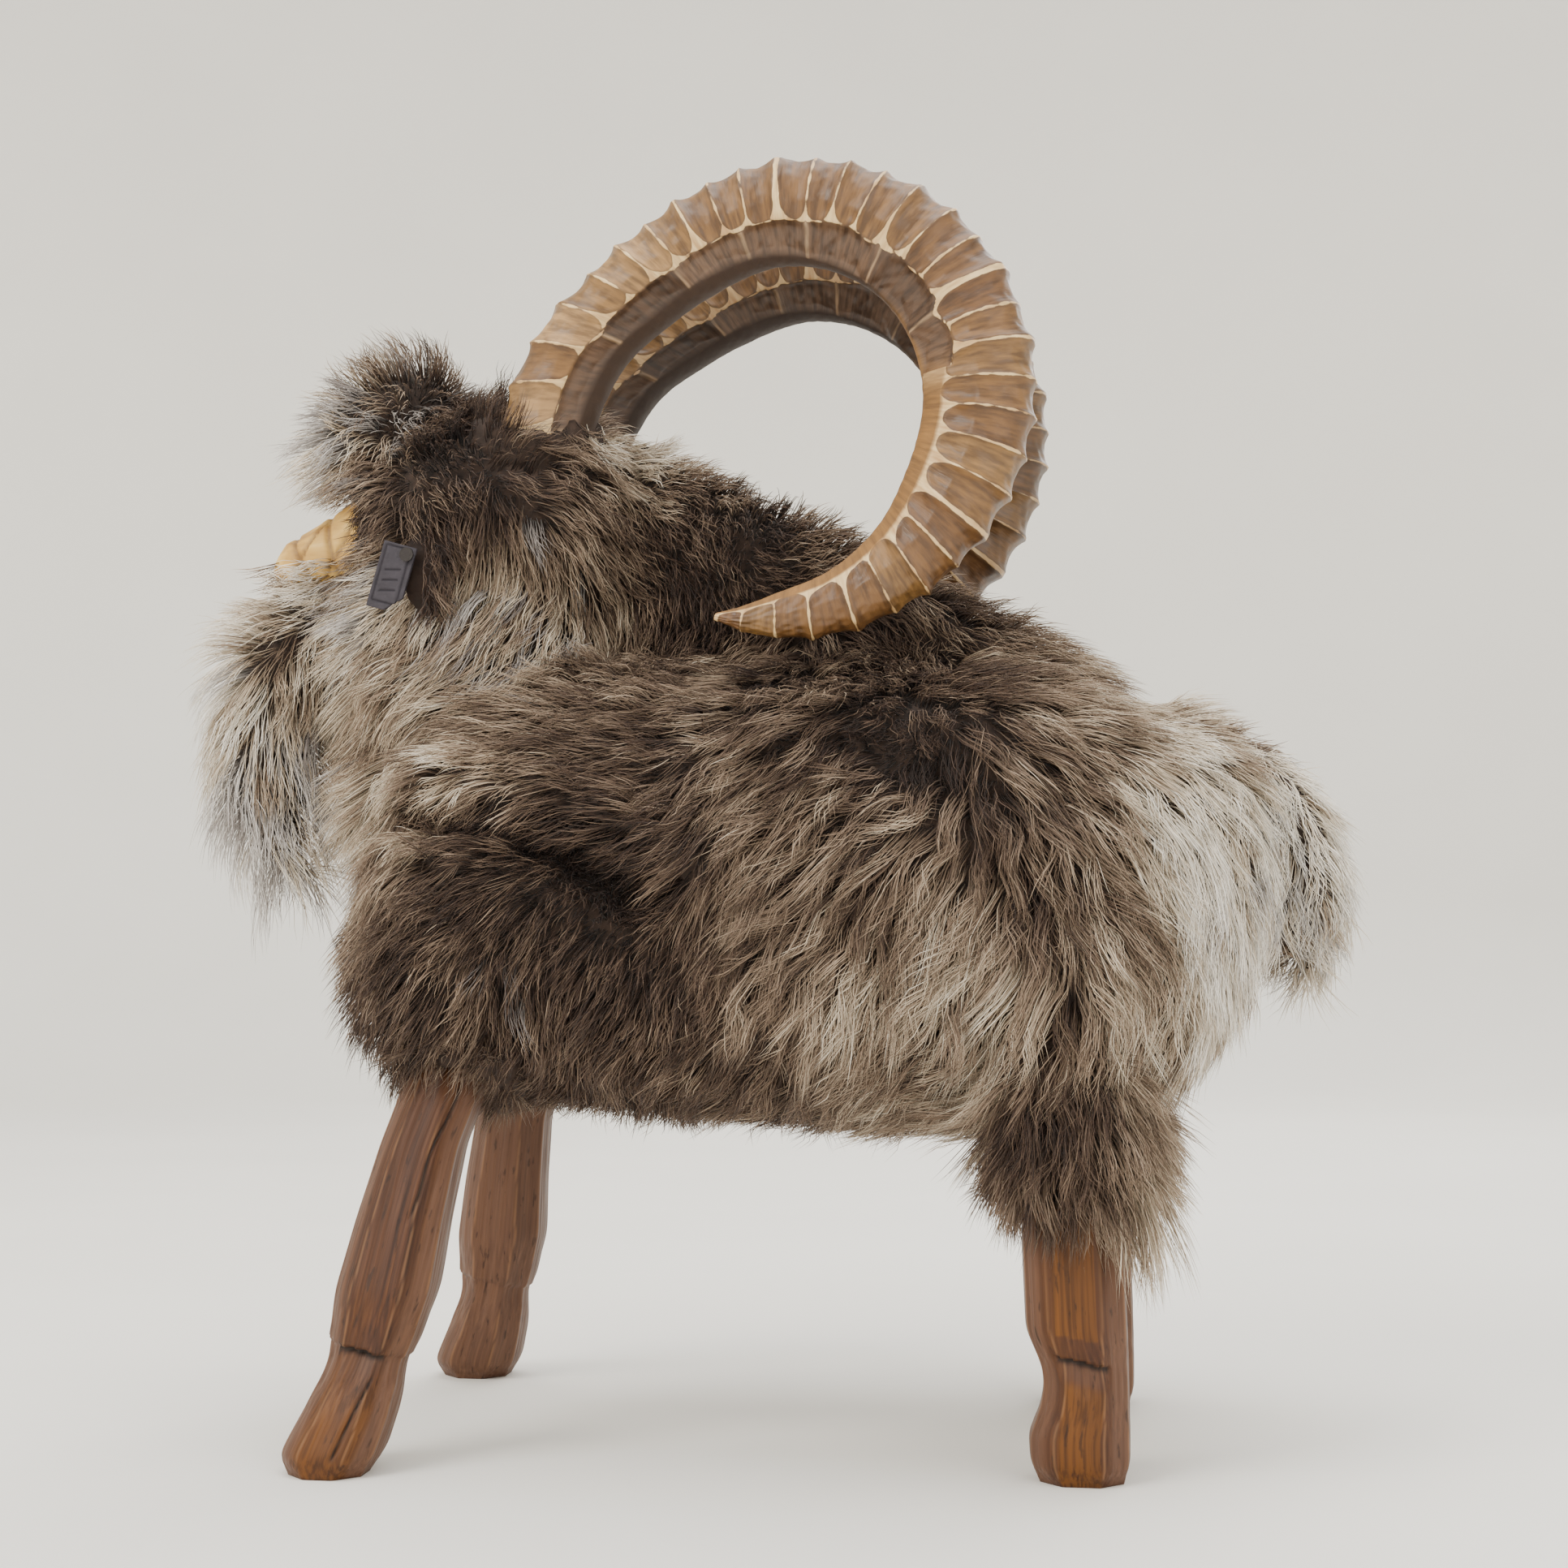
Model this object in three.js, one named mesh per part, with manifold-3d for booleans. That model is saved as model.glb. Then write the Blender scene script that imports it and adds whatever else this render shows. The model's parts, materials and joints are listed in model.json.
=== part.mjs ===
// A ram-shaped stool: four carved legs and a pair of ring-curled carved horns on a timber frame,
// padded and covered in long-wool sheepskin.
// Millimetres, +Z up, nose towards -Y, the ram's left side towards +X.
import * as THREE from "three";
import { mergeVertices } from "three/addons/utils/BufferGeometryUtils.js";
import Module from "manifold-3d";

const wasm = await Module();
wasm.setup();

// ---------------------------------------------------------------------------
// Driving dimensions
// ---------------------------------------------------------------------------

const GAP = 0.3; // clearance between touching pieces
const WOOL_DEPTH = 38; // thickness of the sheepskin with its wool

// Frame
const BOARD_TOP = 322;
const BOARD_THICKNESS = 22;
const BOARD_BOTTOM = BOARD_TOP - BOARD_THICKNESS;
const BOARD_HALF_WIDTH = 104;
const BOARD_FRONT = -186;
const BOARD_REAR = 190;
const RAIL_HEIGHT = 50;
const RAIL_THICKNESS = 24;
const RAIL_TOP = BOARD_BOTTOM - GAP;
const FRONT_RAIL_HALF_WIDTH = 104;
const REAR_RAIL_HALF_WIDTH = 132;
const SIDE_RAIL_CENTRE = 51;

// Legs
const LEG_CHAMFER = 12;
const LEG_TOP = BOARD_BOTTOM - GAP;
const FRONT_FOOT_SIDE = 150; // half the distance between the front feet
const FRONT_LEG_SPLAY = 0.3; // sideways lean, millimetres for each millimetre of height
const FRONT_LEG_BEND = 235; // above this height the front leg is an upright block
const FRONT_LEG_TOP_FRONT = -187;
const FRONT_LEG_TOP_BACK = -140.7;
const REAR_LEG_SIDE = 110;
const REAR_LEG_FRONT = 143;
const REAR_LEG_TOP_BACK = 193;

// Horns: each a ring in an upright plane, swept from the head over the top, the back and round to the tip
const HORN_CENTRE = { y: 14, z: 584 };
const HORN_FACETS = 31;
const HORN_FACET_DEPTH = 3.2;
const HORN_ROOT_ANGLE = 194;
const HORN_TIP_ANGLE = -108;

// Fasteners and dowels
const BOLT = { shank: 4, head: 7.5, headHeight: 5.5, length: 64 };
const SCREW = { shank: 2.25, head: 4.6, headHeight: 3, length: 48 };
const POST_SCREW = { shank: 2.75, head: 5.5, headHeight: 3.2, length: 60 };
const DOWEL = { radius: 8, length: 52 };

// Ear tag
const TAG = { width: 19.5, length: 38, thickness: 2.6, clip: 9, lean: 16 };
const TAG_TOP = { x: 90.5, y: -203, z: 500.5 };
const RIVET = { shank: 2.4, head: 4, headHeight: 1.4, length: 9.4 };

const FINISHES = {
  stained_pine: { color: 0x8a5a3a, roughness: 0.55, metalness: 0 },
  carved_horn_wood: { color: 0xa8825c, roughness: 0.6, metalness: 0 },
  pale_wood: { color: 0xc7ad89, roughness: 0.65, metalness: 0 },
  frame_timber: { color: 0xb99a6c, roughness: 0.8, metalness: 0 },
  steel: { color: 0x9a9da0, roughness: 0.4, metalness: 0.9 },
  wadding: { color: 0xe6dfd2, roughness: 0.95, metalness: 0 },
  brown_fleece: { color: 0x5d4d43, roughness: 0.95, metalness: 0 },
  light_fleece: { color: 0xa08f7c, roughness: 0.95, metalness: 0 },
  leather: { color: 0x45302a, roughness: 0.5, metalness: 0 },
  tag_leather: { color: 0x47444a, roughness: 0.55, metalness: 0 },
};

// ---------------------------------------------------------------------------
// Geometry helpers
// ---------------------------------------------------------------------------

const at = (x, y, z) => new THREE.Vector3(x, y, z);
const radians = THREE.MathUtils.degToRad;

/** A geometry as a solid that can be cut and joined, its faces turned outwards. */
function solidOf(geometry) {
  const bare = geometry.clone();
  bare.deleteAttribute("normal");
  bare.deleteAttribute("uv");
  const merged = mergeVertices(bare, 1e-3);
  const vertProperties = merged.attributes.position.array;
  const triVerts = new Uint32Array(merged.index.array);
  const make = () => new wasm.Manifold(new wasm.Mesh({ numProp: 3, vertProperties, triVerts }));
  const made = make();
  if (made.volume() > 0) return made;
  for (let i = 0; i < triVerts.length; i += 3) {
    [triVerts[i + 1], triVerts[i + 2]] = [triVerts[i + 2], triVerts[i + 1]];
  }
  return make();
}

/** The triangles of a solid as a geometry. */
function geometryOf(solid) {
  const mesh = solid.getMesh();
  const positions = new Float32Array(mesh.numVert * 3);
  for (let i = 0; i < mesh.numVert; i++) {
    positions.set(mesh.vertProperties.subarray(i * mesh.numProp, i * mesh.numProp + 3), i * 3);
  }
  const geometry = new THREE.BufferGeometry();
  geometry.setAttribute("position", new THREE.BufferAttribute(positions, 3));
  geometry.setIndex(new THREE.BufferAttribute(mesh.triVerts, 1));
  geometry.computeVertexNormals();
  return geometry;
}

/** A solid with others cut away. Of what is left, the largest body is kept. */
function cut(solid, ...others) {
  const rest = others.reduce((left, other) => left.subtract(other), solid);
  const bodies = rest.decompose();
  return bodies.reduce((largest, body) => (body.volume() > largest.volume() ? body : largest));
}

/** A closed body lofted through rings: place(v, angle) is a point of the ring at v (0 to 1),
 *  and place(v, null) is the middle of an end ring. */
function loft(around, along, place) {
  const geometry = new THREE.CylinderGeometry(1, 1, 1, around, along);
  const position = geometry.attributes.position;
  for (let i = 0; i < position.count; i++) {
    const x = position.getX(i);
    const z = position.getZ(i);
    const angle = Math.hypot(x, z) < 0.5 ? null : Math.atan2(x, z);
    const point = place(position.getY(i) + 0.5, angle);
    position.setXYZ(i, point.x, point.y, point.z);
  }
  return geometry;
}

/** A soft body lofted through [y, z, half width, half height, tilt] sections. A section lies across the
 *  body: upright at tilt 0, level at tilt 90. squareness above 2 makes its lower half boxier. */
function softBody(sections, { around = 18, along = 20, squareness = 2.2 } = {}) {
  const centres = new THREE.CatmullRomCurve3(sections.map(([y, z]) => at(0, y, z)));
  const sizes = new THREE.CatmullRomCurve3(
    sections.map(([, , wide, high, tilt = 0]) => at(wide, high, tilt)),
  );
  return loft(around, along, (v, angle) => {
    const point = centres.getPoint(v);
    if (angle === null) return point;
    const size = sizes.getPoint(v);
    const tilt = radians(size.z);
    const power = 2 / (Math.cos(angle) < 0 ? squareness : 2.2);
    const side = Math.sign(Math.sin(angle)) * Math.abs(Math.sin(angle)) ** power;
    const up = Math.sign(Math.cos(angle)) * Math.abs(Math.cos(angle)) ** power;
    return point.add(at(side * size.x, -up * size.y * Math.sin(tilt), up * size.y * Math.cos(tilt)));
  });
}

/** A geometry with each of its sides moved out by a distance, or in by a negative one. */
function grown(geometry, by) {
  const box = new THREE.Box3().setFromBufferAttribute(geometry.attributes.position);
  const middle = box.getCenter(at(0, 0, 0));
  const half = box.getSize(at(0, 0, 0)).multiplyScalar(0.5);
  return geometry
    .clone()
    .translate(-middle.x, -middle.y, -middle.z)
    .scale(1 + by / half.x, 1 + by / half.y, 1 + by / half.z)
    .translate(middle.x, middle.y, middle.z);
}

/** A board between two opposite corners. */
function board(low, high) {
  const size = high.clone().sub(low);
  const middle = low.clone().add(high).multiplyScalar(0.5);
  return new THREE.BoxGeometry(size.x, size.y, size.z).translate(middle.x, middle.y, middle.z);
}

/** A geometry made along +Z, turned to a direction and moved to a point. */
function aim(geometry, direction, point) {
  const turn = new THREE.Quaternion().setFromUnitVectors(at(0, 0, 1), direction.clone().normalize());
  return geometry.applyQuaternion(turn).translate(point.x, point.y, point.z);
}

/** A round fastener along +Z, its head from 0 up and its shank below, every face moved out by clearance. */
function fastener({ shank, head, headHeight, length }, headSides, clearance = 0) {
  const headRadius = head + clearance;
  const top = new THREE.CylinderGeometry(headRadius, headRadius, headHeight + 2 * clearance, headSides)
    .rotateX(Math.PI / 2)
    .translate(0, 0, headHeight / 2);
  const shankRadius = shank + clearance;
  const stem = new THREE.CylinderGeometry(shankRadius, shankRadius, length + clearance, 12)
    .rotateX(Math.PI / 2)
    .translate(0, 0, 0.5 - (length + clearance) / 2);
  return geometryOf(solidOf(top).add(solidOf(stem)));
}

const model = new THREE.Group();

/** Adds one named piece. */
function piece(name, shape, finish) {
  const geometry = shape.isBufferGeometry ? shape : geometryOf(shape);
  const mesh = new THREE.Mesh(geometry, new THREE.MeshStandardMaterial(FINISHES[finish]));
  mesh.name = name;
  model.add(mesh);
}

/** Runs once for each side of the ram: +1 is its left, -1 its right. */
const SIDES = [
  ["left", 1],
  ["right", -1],
];
const mirrored = (geometry, side) => (side > 0 ? geometry : geometry.clone().scale(-1, 1, 1));

// ---------------------------------------------------------------------------
// Legs: eight-sided, with a hoof, a cut-in fetlock, a fuller knee and an upright top block
// ---------------------------------------------------------------------------

// [height, front face, back face, half width]
const FRONT_LEG_ROWS = [
  [0, -240, -201, 20],
  [10, -245.5, -194, 25],
  [32, -235, -188, 24.5],
  [55, -225.5, -184.5, 20],
  [66, -225.5, -179.5, 21.5],
  [94, -223.5, -171.5, 25],
  [130, -216, -168, 24.5],
  [168, -207, -163, 23.5],
  [205, -196, -151, 23],
  [FRONT_LEG_BEND, FRONT_LEG_TOP_FRONT, FRONT_LEG_TOP_BACK, 23],
  [LEG_TOP, FRONT_LEG_TOP_FRONT, FRONT_LEG_TOP_BACK, 23],
];
const REAR_LEG_ROWS = [
  [0, 151.5, 194.5, 20],
  [9, 147, 197.3, 25],
  [25, 146, 197.4, 25],
  [38, 151.5, 197.2, 23],
  [50, 153.6, 197, 22],
  [60, 152.3, 196.8, 22.5],
  [78, 144.8, 196.4, 25],
  [122, REAR_LEG_FRONT, 194.5, 25],
  [LEG_TOP, REAR_LEG_FRONT, REAR_LEG_TOP_BACK, 25],
];

/** A leg of the left side, every side moved out by clearance. Its sections are chamfered rectangles,
 *  and middle(height) is where its axis is in X. */
function legGeometry(rows, middle, clearance) {
  const rings = rows.length - 1;
  return loft(8, rings, (v, angle) => {
    const [height, front, back, halfWidth] = rows[Math.round(v * rings)];
    const centre = at(middle(height), (front + back) / 2, height + (v === 1 ? clearance : 0));
    if (angle === null) return centre;
    const wide = halfWidth + clearance;
    const deep = (back - front) / 2 + clearance;
    const corners = [
      [wide - LEG_CHAMFER, deep],
      [wide, deep - LEG_CHAMFER],
      [wide, LEG_CHAMFER - deep],
      [wide - LEG_CHAMFER, -deep],
      [LEG_CHAMFER - wide, -deep],
      [-wide, LEG_CHAMFER - deep],
      [-wide, deep - LEG_CHAMFER],
      [LEG_CHAMFER - wide, deep],
    ];
    const [x, y] = corners[(Math.round(angle / (Math.PI / 4)) + 8) % 8];
    return centre.add(at(x, y, 0));
  });
}

const frontLegMiddle = (height) =>
  FRONT_FOOT_SIDE - FRONT_LEG_SPLAY * Math.min(height, FRONT_LEG_BEND);
const frontLeg = (clearance = 0) => legGeometry(FRONT_LEG_ROWS, frontLegMiddle, clearance);
const rearLeg = (clearance = 0) => legGeometry(REAR_LEG_ROWS, () => REAR_LEG_SIDE, clearance);

// ---------------------------------------------------------------------------
// Horns
// ---------------------------------------------------------------------------

// [angle round the ring, outer radius, half the radial thickness, half width, distance from X = 0].
// The angle is 0 at the tail side, 90 on top and 180 at the head.
const HORN_ROWS = [
  [HORN_TIP_ANGLE, 134, 2, 3, 80],
  [-94, 139, 12.5, 10, 79],
  [-78, 140, 18, 15, 78],
  [-60, 139, 23, 20, 77],
  [-38, 138, 28.5, 25, 76],
  [0, 138, 32, 28, 74],
  [45, 136, 32, 29, 71],
  [90, 133, 30, 29, 67],
  [135, 133, 27.5, 29, 59],
  [150, 141, 27.5, 29, 55],
  [165, 156, 28, 29, 50],
  [180, 170, 28.5, 29, 46],
  [HORN_ROOT_ANGLE, 184, 29, 29, 43],
];
const hornRadii = new THREE.CatmullRomCurve3(
  HORN_ROWS.map(([angle, outer, thick]) => at(angle, outer, thick)),
);
const hornWidths = new THREE.CatmullRomCurve3(
  HORN_ROWS.map(([angle, , , wide, side]) => at(angle, wide, side)),
);

/** The horn's section at v (0 at the tip, 1 at the root): its middle, outward direction and half sizes. */
function hornSection(v) {
  const radii = hornRadii.getPoint(v);
  const widths = hornWidths.getPoint(v);
  const angle = radians(radii.x);
  const outward = at(0, Math.cos(angle), Math.sin(angle));
  const middle = at(widths.z, HORN_CENTRE.y, HORN_CENTRE.z);
  middle.addScaledVector(outward, radii.y - radii.z);
  return { middle, outward, thick: radii.z, wide: widths.y };
}

/** The left horn, every side moved out by clearance. A facet has two rings: its ridge and its scoop. */
function hornGeometry(clearance = 0) {
  const rings = 2 * HORN_FACETS;
  return loft(12, rings, (v, angle) => {
    const { middle, outward, thick, wide } = hornSection(v);
    if (angle === null) return middle;
    const across = Math.cos(angle);
    const scooped = Math.round(v * rings) % 2 === 1 && across > -0.2;
    const depth = scooped ? Math.min(HORN_FACET_DEPTH, 0.2 * thick) : 0;
    const narrowing = across < 0 ? 1 + 0.45 * across : 1;
    const side = Math.sign(Math.sin(angle)) * Math.abs(Math.sin(angle)) ** 0.8;
    return middle
      .addScaledVector(outward, across * (thick - depth + clearance))
      .add(at(side * (wide * narrowing - depth + clearance), 0, 0));
  });
}

const hornRoot = hornSection(1).middle;
// The way the horn leaves the head
const hornRise = hornSection(0.98).middle.sub(hornRoot).setX(0).normalize();

// ---------------------------------------------------------------------------
// Head, neck and frame
// ---------------------------------------------------------------------------

const headBlockGeometry = softBody(
  [
    [-309, 500, 9, 6],
    [-302, 502, 18, 13],
    [-281, 505, 24, 22],
    [-248, 512, 31, 33],
    [-210, 521, 45, 39],
    [-168, 527, 60, 43],
    [-128, 528, 62, 36],
    [-104, 527, 56, 22],
    [-98, 527, 40, 12],
  ],
  { around: 14, along: 12 },
);

const POST = { bottomY: -95, topY: -170, topZ: 506, half: 23 };
/** The leaning neck post, every side moved out by clearance. */
function postGeometry(clearance = 0) {
  return loft(4, 1, (v, angle) => {
    const height = v === 0 ? BOARD_TOP + GAP - clearance : POST.topZ + clearance;
    const centre = at(0, THREE.MathUtils.lerp(POST.bottomY, POST.topY, v), height);
    if (angle === null) return centre;
    const reach = (POST.half + clearance) * Math.SQRT2;
    return centre.add(at(reach * Math.sin(angle + Math.PI / 4), reach * Math.cos(angle + Math.PI / 4), 0));
  });
}

const BRACE = { length: 58, height: 78, halfWidth: 18 };
/** The three-cornered block behind the neck post, every side moved out by at least clearance. */
function braceGeometry(clearance = 0) {
  const lean = (POST.topY - POST.bottomY) / (POST.topZ - BOARD_TOP);
  const base = BOARD_TOP + GAP;
  const foot = POST.bottomY + POST.half + 2 * GAP;
  const peak = foot + lean * BRACE.height;
  const outline = new THREE.Shape()
    .moveTo(foot - clearance, base - clearance)
    .lineTo(foot + BRACE.length + 3 * clearance, base - clearance)
    .lineTo(peak + 3 + 2 * clearance, base + BRACE.height + clearance)
    .lineTo(peak - clearance, base + BRACE.height + clearance);
  const halfWidth = BRACE.halfWidth + clearance;
  return new THREE.ExtrudeGeometry(outline, { depth: 2 * halfWidth, bevelEnabled: false })
    .translate(0, 0, -halfWidth)
    .applyMatrix4(new THREE.Matrix4().makeBasis(at(0, 1, 0), at(0, 0, 1), at(1, 0, 0)));
}

// The cross rails stand against the inward faces of the legs, and the side rails run between them.
const railBottom = RAIL_TOP - RAIL_HEIGHT;
const frontRailFront = FRONT_LEG_TOP_BACK + GAP;
const frontRailBack = frontRailFront + RAIL_THICKNESS;
const rearRailBack = REAR_LEG_FRONT - GAP;
const rearRailFront = rearRailBack - RAIL_THICKNESS;
/** The two opposite corners of a piece from its stretches [low, high] along X, Y and Z. */
const corners = ([x0, x1], [y0, y1], [z0, z1]) => [at(x0, y0, z0), at(x1, y1, z1)];
const acrossX = (halfWidth) => [-halfWidth, halfWidth];
const railZ = [railBottom, RAIL_TOP];
const FRAME = {
  seat_board: corners(acrossX(BOARD_HALF_WIDTH), [BOARD_FRONT, BOARD_REAR], [BOARD_BOTTOM, BOARD_TOP]),
  front_rail: corners(acrossX(FRONT_RAIL_HALF_WIDTH), [frontRailFront, frontRailBack], railZ),
  rear_rail: corners(acrossX(REAR_RAIL_HALF_WIDTH), [rearRailFront, rearRailBack], railZ),
};
for (const [name, side] of SIDES) {
  const inner = side * SIDE_RAIL_CENTRE - RAIL_THICKNESS / 2;
  const railX = [inner, inner + RAIL_THICKNESS];
  FRAME["side_rail_" + name] = corners(railX, [frontRailBack + GAP, rearRailFront - GAP], railZ);
}

// Fasteners: [name, size, head's sides, place of the head's seat, direction the head points]
const FASTENERS = [];
const screwSeat = BOARD_TOP - SCREW.headHeight; // the screw heads are flush with the board
const boltHeight = (railBottom + RAIL_TOP) / 2;
const frontBoltSide = frontLegMiddle(LEG_TOP);
const frontBoltSeat = FRONT_LEG_TOP_FRONT - GAP;
const rearBoltSeat = REAR_LEG_TOP_BACK + 3 * GAP;
for (const [name, side] of SIDES) {
  FASTENERS.push(
    ["leg_bolt_front_" + name, BOLT, 6, at(side * frontBoltSide, frontBoltSeat, boltHeight), at(0, -1, 0)],
    ["leg_bolt_rear_" + name, BOLT, 6, at(side * REAR_LEG_SIDE, rearBoltSeat, boltHeight), at(0, 1, 0)],
    ["seat_screw_front_" + name, SCREW, 12, at(side * SIDE_RAIL_CENTRE, -96, screwSeat), at(0, 0, 1)],
    ["seat_screw_rear_" + name, SCREW, 12, at(side * SIDE_RAIL_CENTRE, 96, screwSeat), at(0, 0, 1)],
    ["neck_screw_" + name, POST_SCREW, 12, at(side * 12, -104, BOARD_BOTTOM - GAP), at(0, 0, -1)],
  );
}
const fastenerOf = ([, size, sides, seat, direction], clearance = 0) =>
  solidOf(aim(fastener(size, sides, clearance), direction, seat));
const fastenerHoles = FASTENERS.map((row) => fastenerOf(row, GAP));

/** The dowel that holds the horn of one side to the head. */
function dowelGeometry(side, clearance = 0) {
  const radius = DOWEL.radius + clearance;
  const dowel = new THREE.CylinderGeometry(radius, radius, DOWEL.length + 2 * clearance, 16);
  return aim(dowel.rotateX(Math.PI / 2), hornRise, at(side * hornRoot.x, hornRoot.y, hornRoot.z));
}
const dowelHoles = SIDES.map(([, side]) => solidOf(dowelGeometry(side, GAP)));

// ---------------------------------------------------------------------------
// Sheepskin: outer shapes of the wool, from [y, z, half width, half height, tilt] sections
// ---------------------------------------------------------------------------

const torso = softBody(
  [
    [-244, 288, 30, 26],
    [-237, 292, 82, 68],
    [-216, 302, 116, 100],
    [-174, 313, 140, 124],
    [-110, 316, 150, 131],
    [-30, 312, 153, 136],
    [60, 309, 154, 139],
    [135, 308, 153, 138],
    [200, 303, 147, 124],
    [248, 312, 124, 101],
    [280, 330, 84, 70],
    [292, 334, 40, 38],
  ],
  { around: 18, along: 16, squareness: 4.2 },
);
const padding = grown(torso, -WOOL_DEPTH);

const neck = softBody(
  [
    [-163, 338, 84, 92, 84],
    [-172, 400, 88, 92, 80],
    [-180, 450, 86, 88, 84],
    [-176, 500, 78, 78, 90],
    [-170, 540, 60, 60, 95],
  ],
  { around: 16, along: 8 },
);
const neckPadding = grown(neck, -WOOL_DEPTH);

const head = softBody(
  [
    [-268, 508, 26, 16],
    [-256, 511, 52, 38],
    [-220, 520, 80, 62],
    [-172, 526, 91, 70],
    [-126, 527, 89, 68],
    [-90, 525, 66, 48],
    [-76, 524, 30, 20],
  ],
  { around: 16, along: 12 },
);

const mane = softBody(
  [
    [-110, 500, 24, 66],
    [-84, 500, 38, 80],
    [-40, 485, 42, 76],
    [40, 462, 43, 60],
    [120, 442, 44, 37],
    [180, 428, 36, 20],
    [200, 424, 18, 8],
  ],
  { around: 12, along: 10 },
);

const tuft = softBody(
  [
    [-286, 568, 16, 16],
    [-272, 572, 40, 40],
    [-238, 578, 54, 53],
    [-204, 582, 52, 50],
    [-184, 586, 30, 30],
  ],
  { around: 14, along: 8 },
);

const beard = softBody(
  [
    [-268, 480, 34, 20, 40],
    [-286, 470, 42, 32, 62],
    [-304, 440, 42, 37, 84],
    [-311, 400, 37, 33, 92],
    [-309, 355, 30, 30, 96],
    [-296, 322, 19, 20, 104],
    [-290, 309, 8, 8, 104],
  ],
  { around: 14, along: 12 },
);

const tail = softBody(
  [
    [276, 400, 22, 10, 50],
    [286, 386, 40, 20, 66],
    [296, 350, 50, 27, 82],
    [302, 308, 48, 24, 92],
    [298, 272, 32, 15, 98],
    [296, 256, 12, 6, 100],
  ],
  { around: 12, along: 8 },
);

const CUFF = { x: REAR_LEG_SIDE, y: 177, top: 200, bottom: 119 };
/** The puffed cuff of wool round a rear leg of the left side. */
function cuffGeometry() {
  const middle = (CUFF.top + CUFF.bottom) / 2;
  const half = (CUFF.top - CUFF.bottom) / 2;
  return loft(14, 6, (v, angle) => {
    const rise = 2 * v - 1;
    const centre = at(CUFF.x, CUFF.y, middle + rise * half);
    if (angle === null) return centre;
    const reach = 36 + 17 * Math.sqrt(1 - rise * rise);
    return centre.add(at(0.9 * reach * Math.sin(angle), reach * Math.cos(angle), 0));
  });
}

// ---------------------------------------------------------------------------
// Ears and tag
// ---------------------------------------------------------------------------

/** The leather ear of the left side: a hanging leaf that leaves the wool at its top. */
function earGeometry(clearance = 0) {
  const rows = [
    [71, -182, 520, 7],
    [79, -186, 510, 12],
    [85, -191, 498, 15],
    [87, -192, 484, 14],
    [85, -191, 470, 10],
    [81, -189, 460, 3],
  ];
  const rings = rows.length - 1;
  return loft(10, rings, (v, angle) => {
    const [x, y, z, wide] = rows[Math.round(v * rings)];
    const centre = at(x, y, z);
    if (angle === null) return centre;
    return centre.add(at((1.5 + clearance) * Math.cos(angle), (wide + clearance) * Math.sin(angle), 0));
  });
}

/** The ear tag: a leather strip with one lower corner clipped, hanging a little outside the ear. */
function tagGeometry() {
  const { width, length, thickness, clip } = TAG;
  const outline = new THREE.Shape()
    .moveTo(-width / 2, 0)
    .lineTo(-width / 2, -length)
    .lineTo(width / 2 - clip, -length)
    .lineTo(width / 2, clip - length)
    .lineTo(width / 2, 0);
  return new THREE.ExtrudeGeometry(outline, { depth: thickness, bevelEnabled: false });
}
const tagFrame = new THREE.Matrix4()
  .makeTranslation(TAG_TOP.x, TAG_TOP.y, TAG_TOP.z)
  .multiply(new THREE.Matrix4().makeBasis(at(0, 1, 0), at(0, 0, 1), at(1, 0, 0)))
  .multiply(new THREE.Matrix4().makeRotationZ(-radians(TAG.lean)));

/** The stud that the tag swings on: through the tag into the ear, with its head outside the tag. */
function rivetGeometry(clearance = 0) {
  const seat = at(TAG.width / 2 - 4.5, -4.8, TAG.thickness + GAP);
  return fastener(RIVET, 14, clearance).translate(seat.x, seat.y, seat.z).applyMatrix4(tagFrame);
}

// ---------------------------------------------------------------------------
// Assembly
// ---------------------------------------------------------------------------

const CLEAR = 0.4;
const horns = SIDES.map(([, side]) => solidOf(mirrored(hornGeometry(), side)));
const hornSpaces = SIDES.map(([, side]) => solidOf(mirrored(hornGeometry(CLEAR), side)));

const legs = {};
for (const [name, side] of SIDES) {
  legs["leg_front_" + name] = solidOf(mirrored(frontLeg(), side));
  legs["leg_rear_" + name] = solidOf(mirrored(rearLeg(), side));
}
const legSpaces = SIDES.flatMap(([, side]) => [
  solidOf(mirrored(frontLeg(CLEAR), side)),
  solidOf(mirrored(rearLeg(CLEAR), side)),
]);
for (const [name, leg] of Object.entries(legs)) piece(name, cut(leg, ...fastenerHoles), "stained_pine");

for (const [name, ends] of Object.entries(FRAME)) {
  piece(name, cut(solidOf(board(...ends)), ...fastenerHoles), "frame_timber");
}
piece("neck_post", cut(solidOf(postGeometry()), ...fastenerHoles), "frame_timber");
piece("neck_brace", braceGeometry(), "frame_timber");
for (const row of FASTENERS) piece(row[0], fastenerOf(row), "steel");

// The back of the head block is cut to a flat, square to the horns, and the horns stand on it.
const seatCutter = new THREE.BoxGeometry(200, 110, 80).translate(0, 0, 40 - GAP);
const hornSeat = solidOf(aim(seatCutter, hornRise, at(0, hornRoot.y, hornRoot.z)));
const postSpace = solidOf(postGeometry(CLEAR));
const headBlock = cut(solidOf(headBlockGeometry), hornSeat, postSpace, ...dowelHoles);
piece("head_block", headBlock, "pale_wood");
const rootCutter = new THREE.BoxGeometry(200, 110, 60).translate(0, 0, -30);
const belowRoot = solidOf(aim(rootCutter, hornRise, at(0, hornRoot.y, hornRoot.z)));
SIDES.forEach(([name, side], i) => {
  piece("horn_" + name, cut(horns[i], belowRoot, ...dowelHoles), "carved_horn_wood");
  piece("horn_dowel_" + name, dowelGeometry(side), "frame_timber");
});

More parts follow.
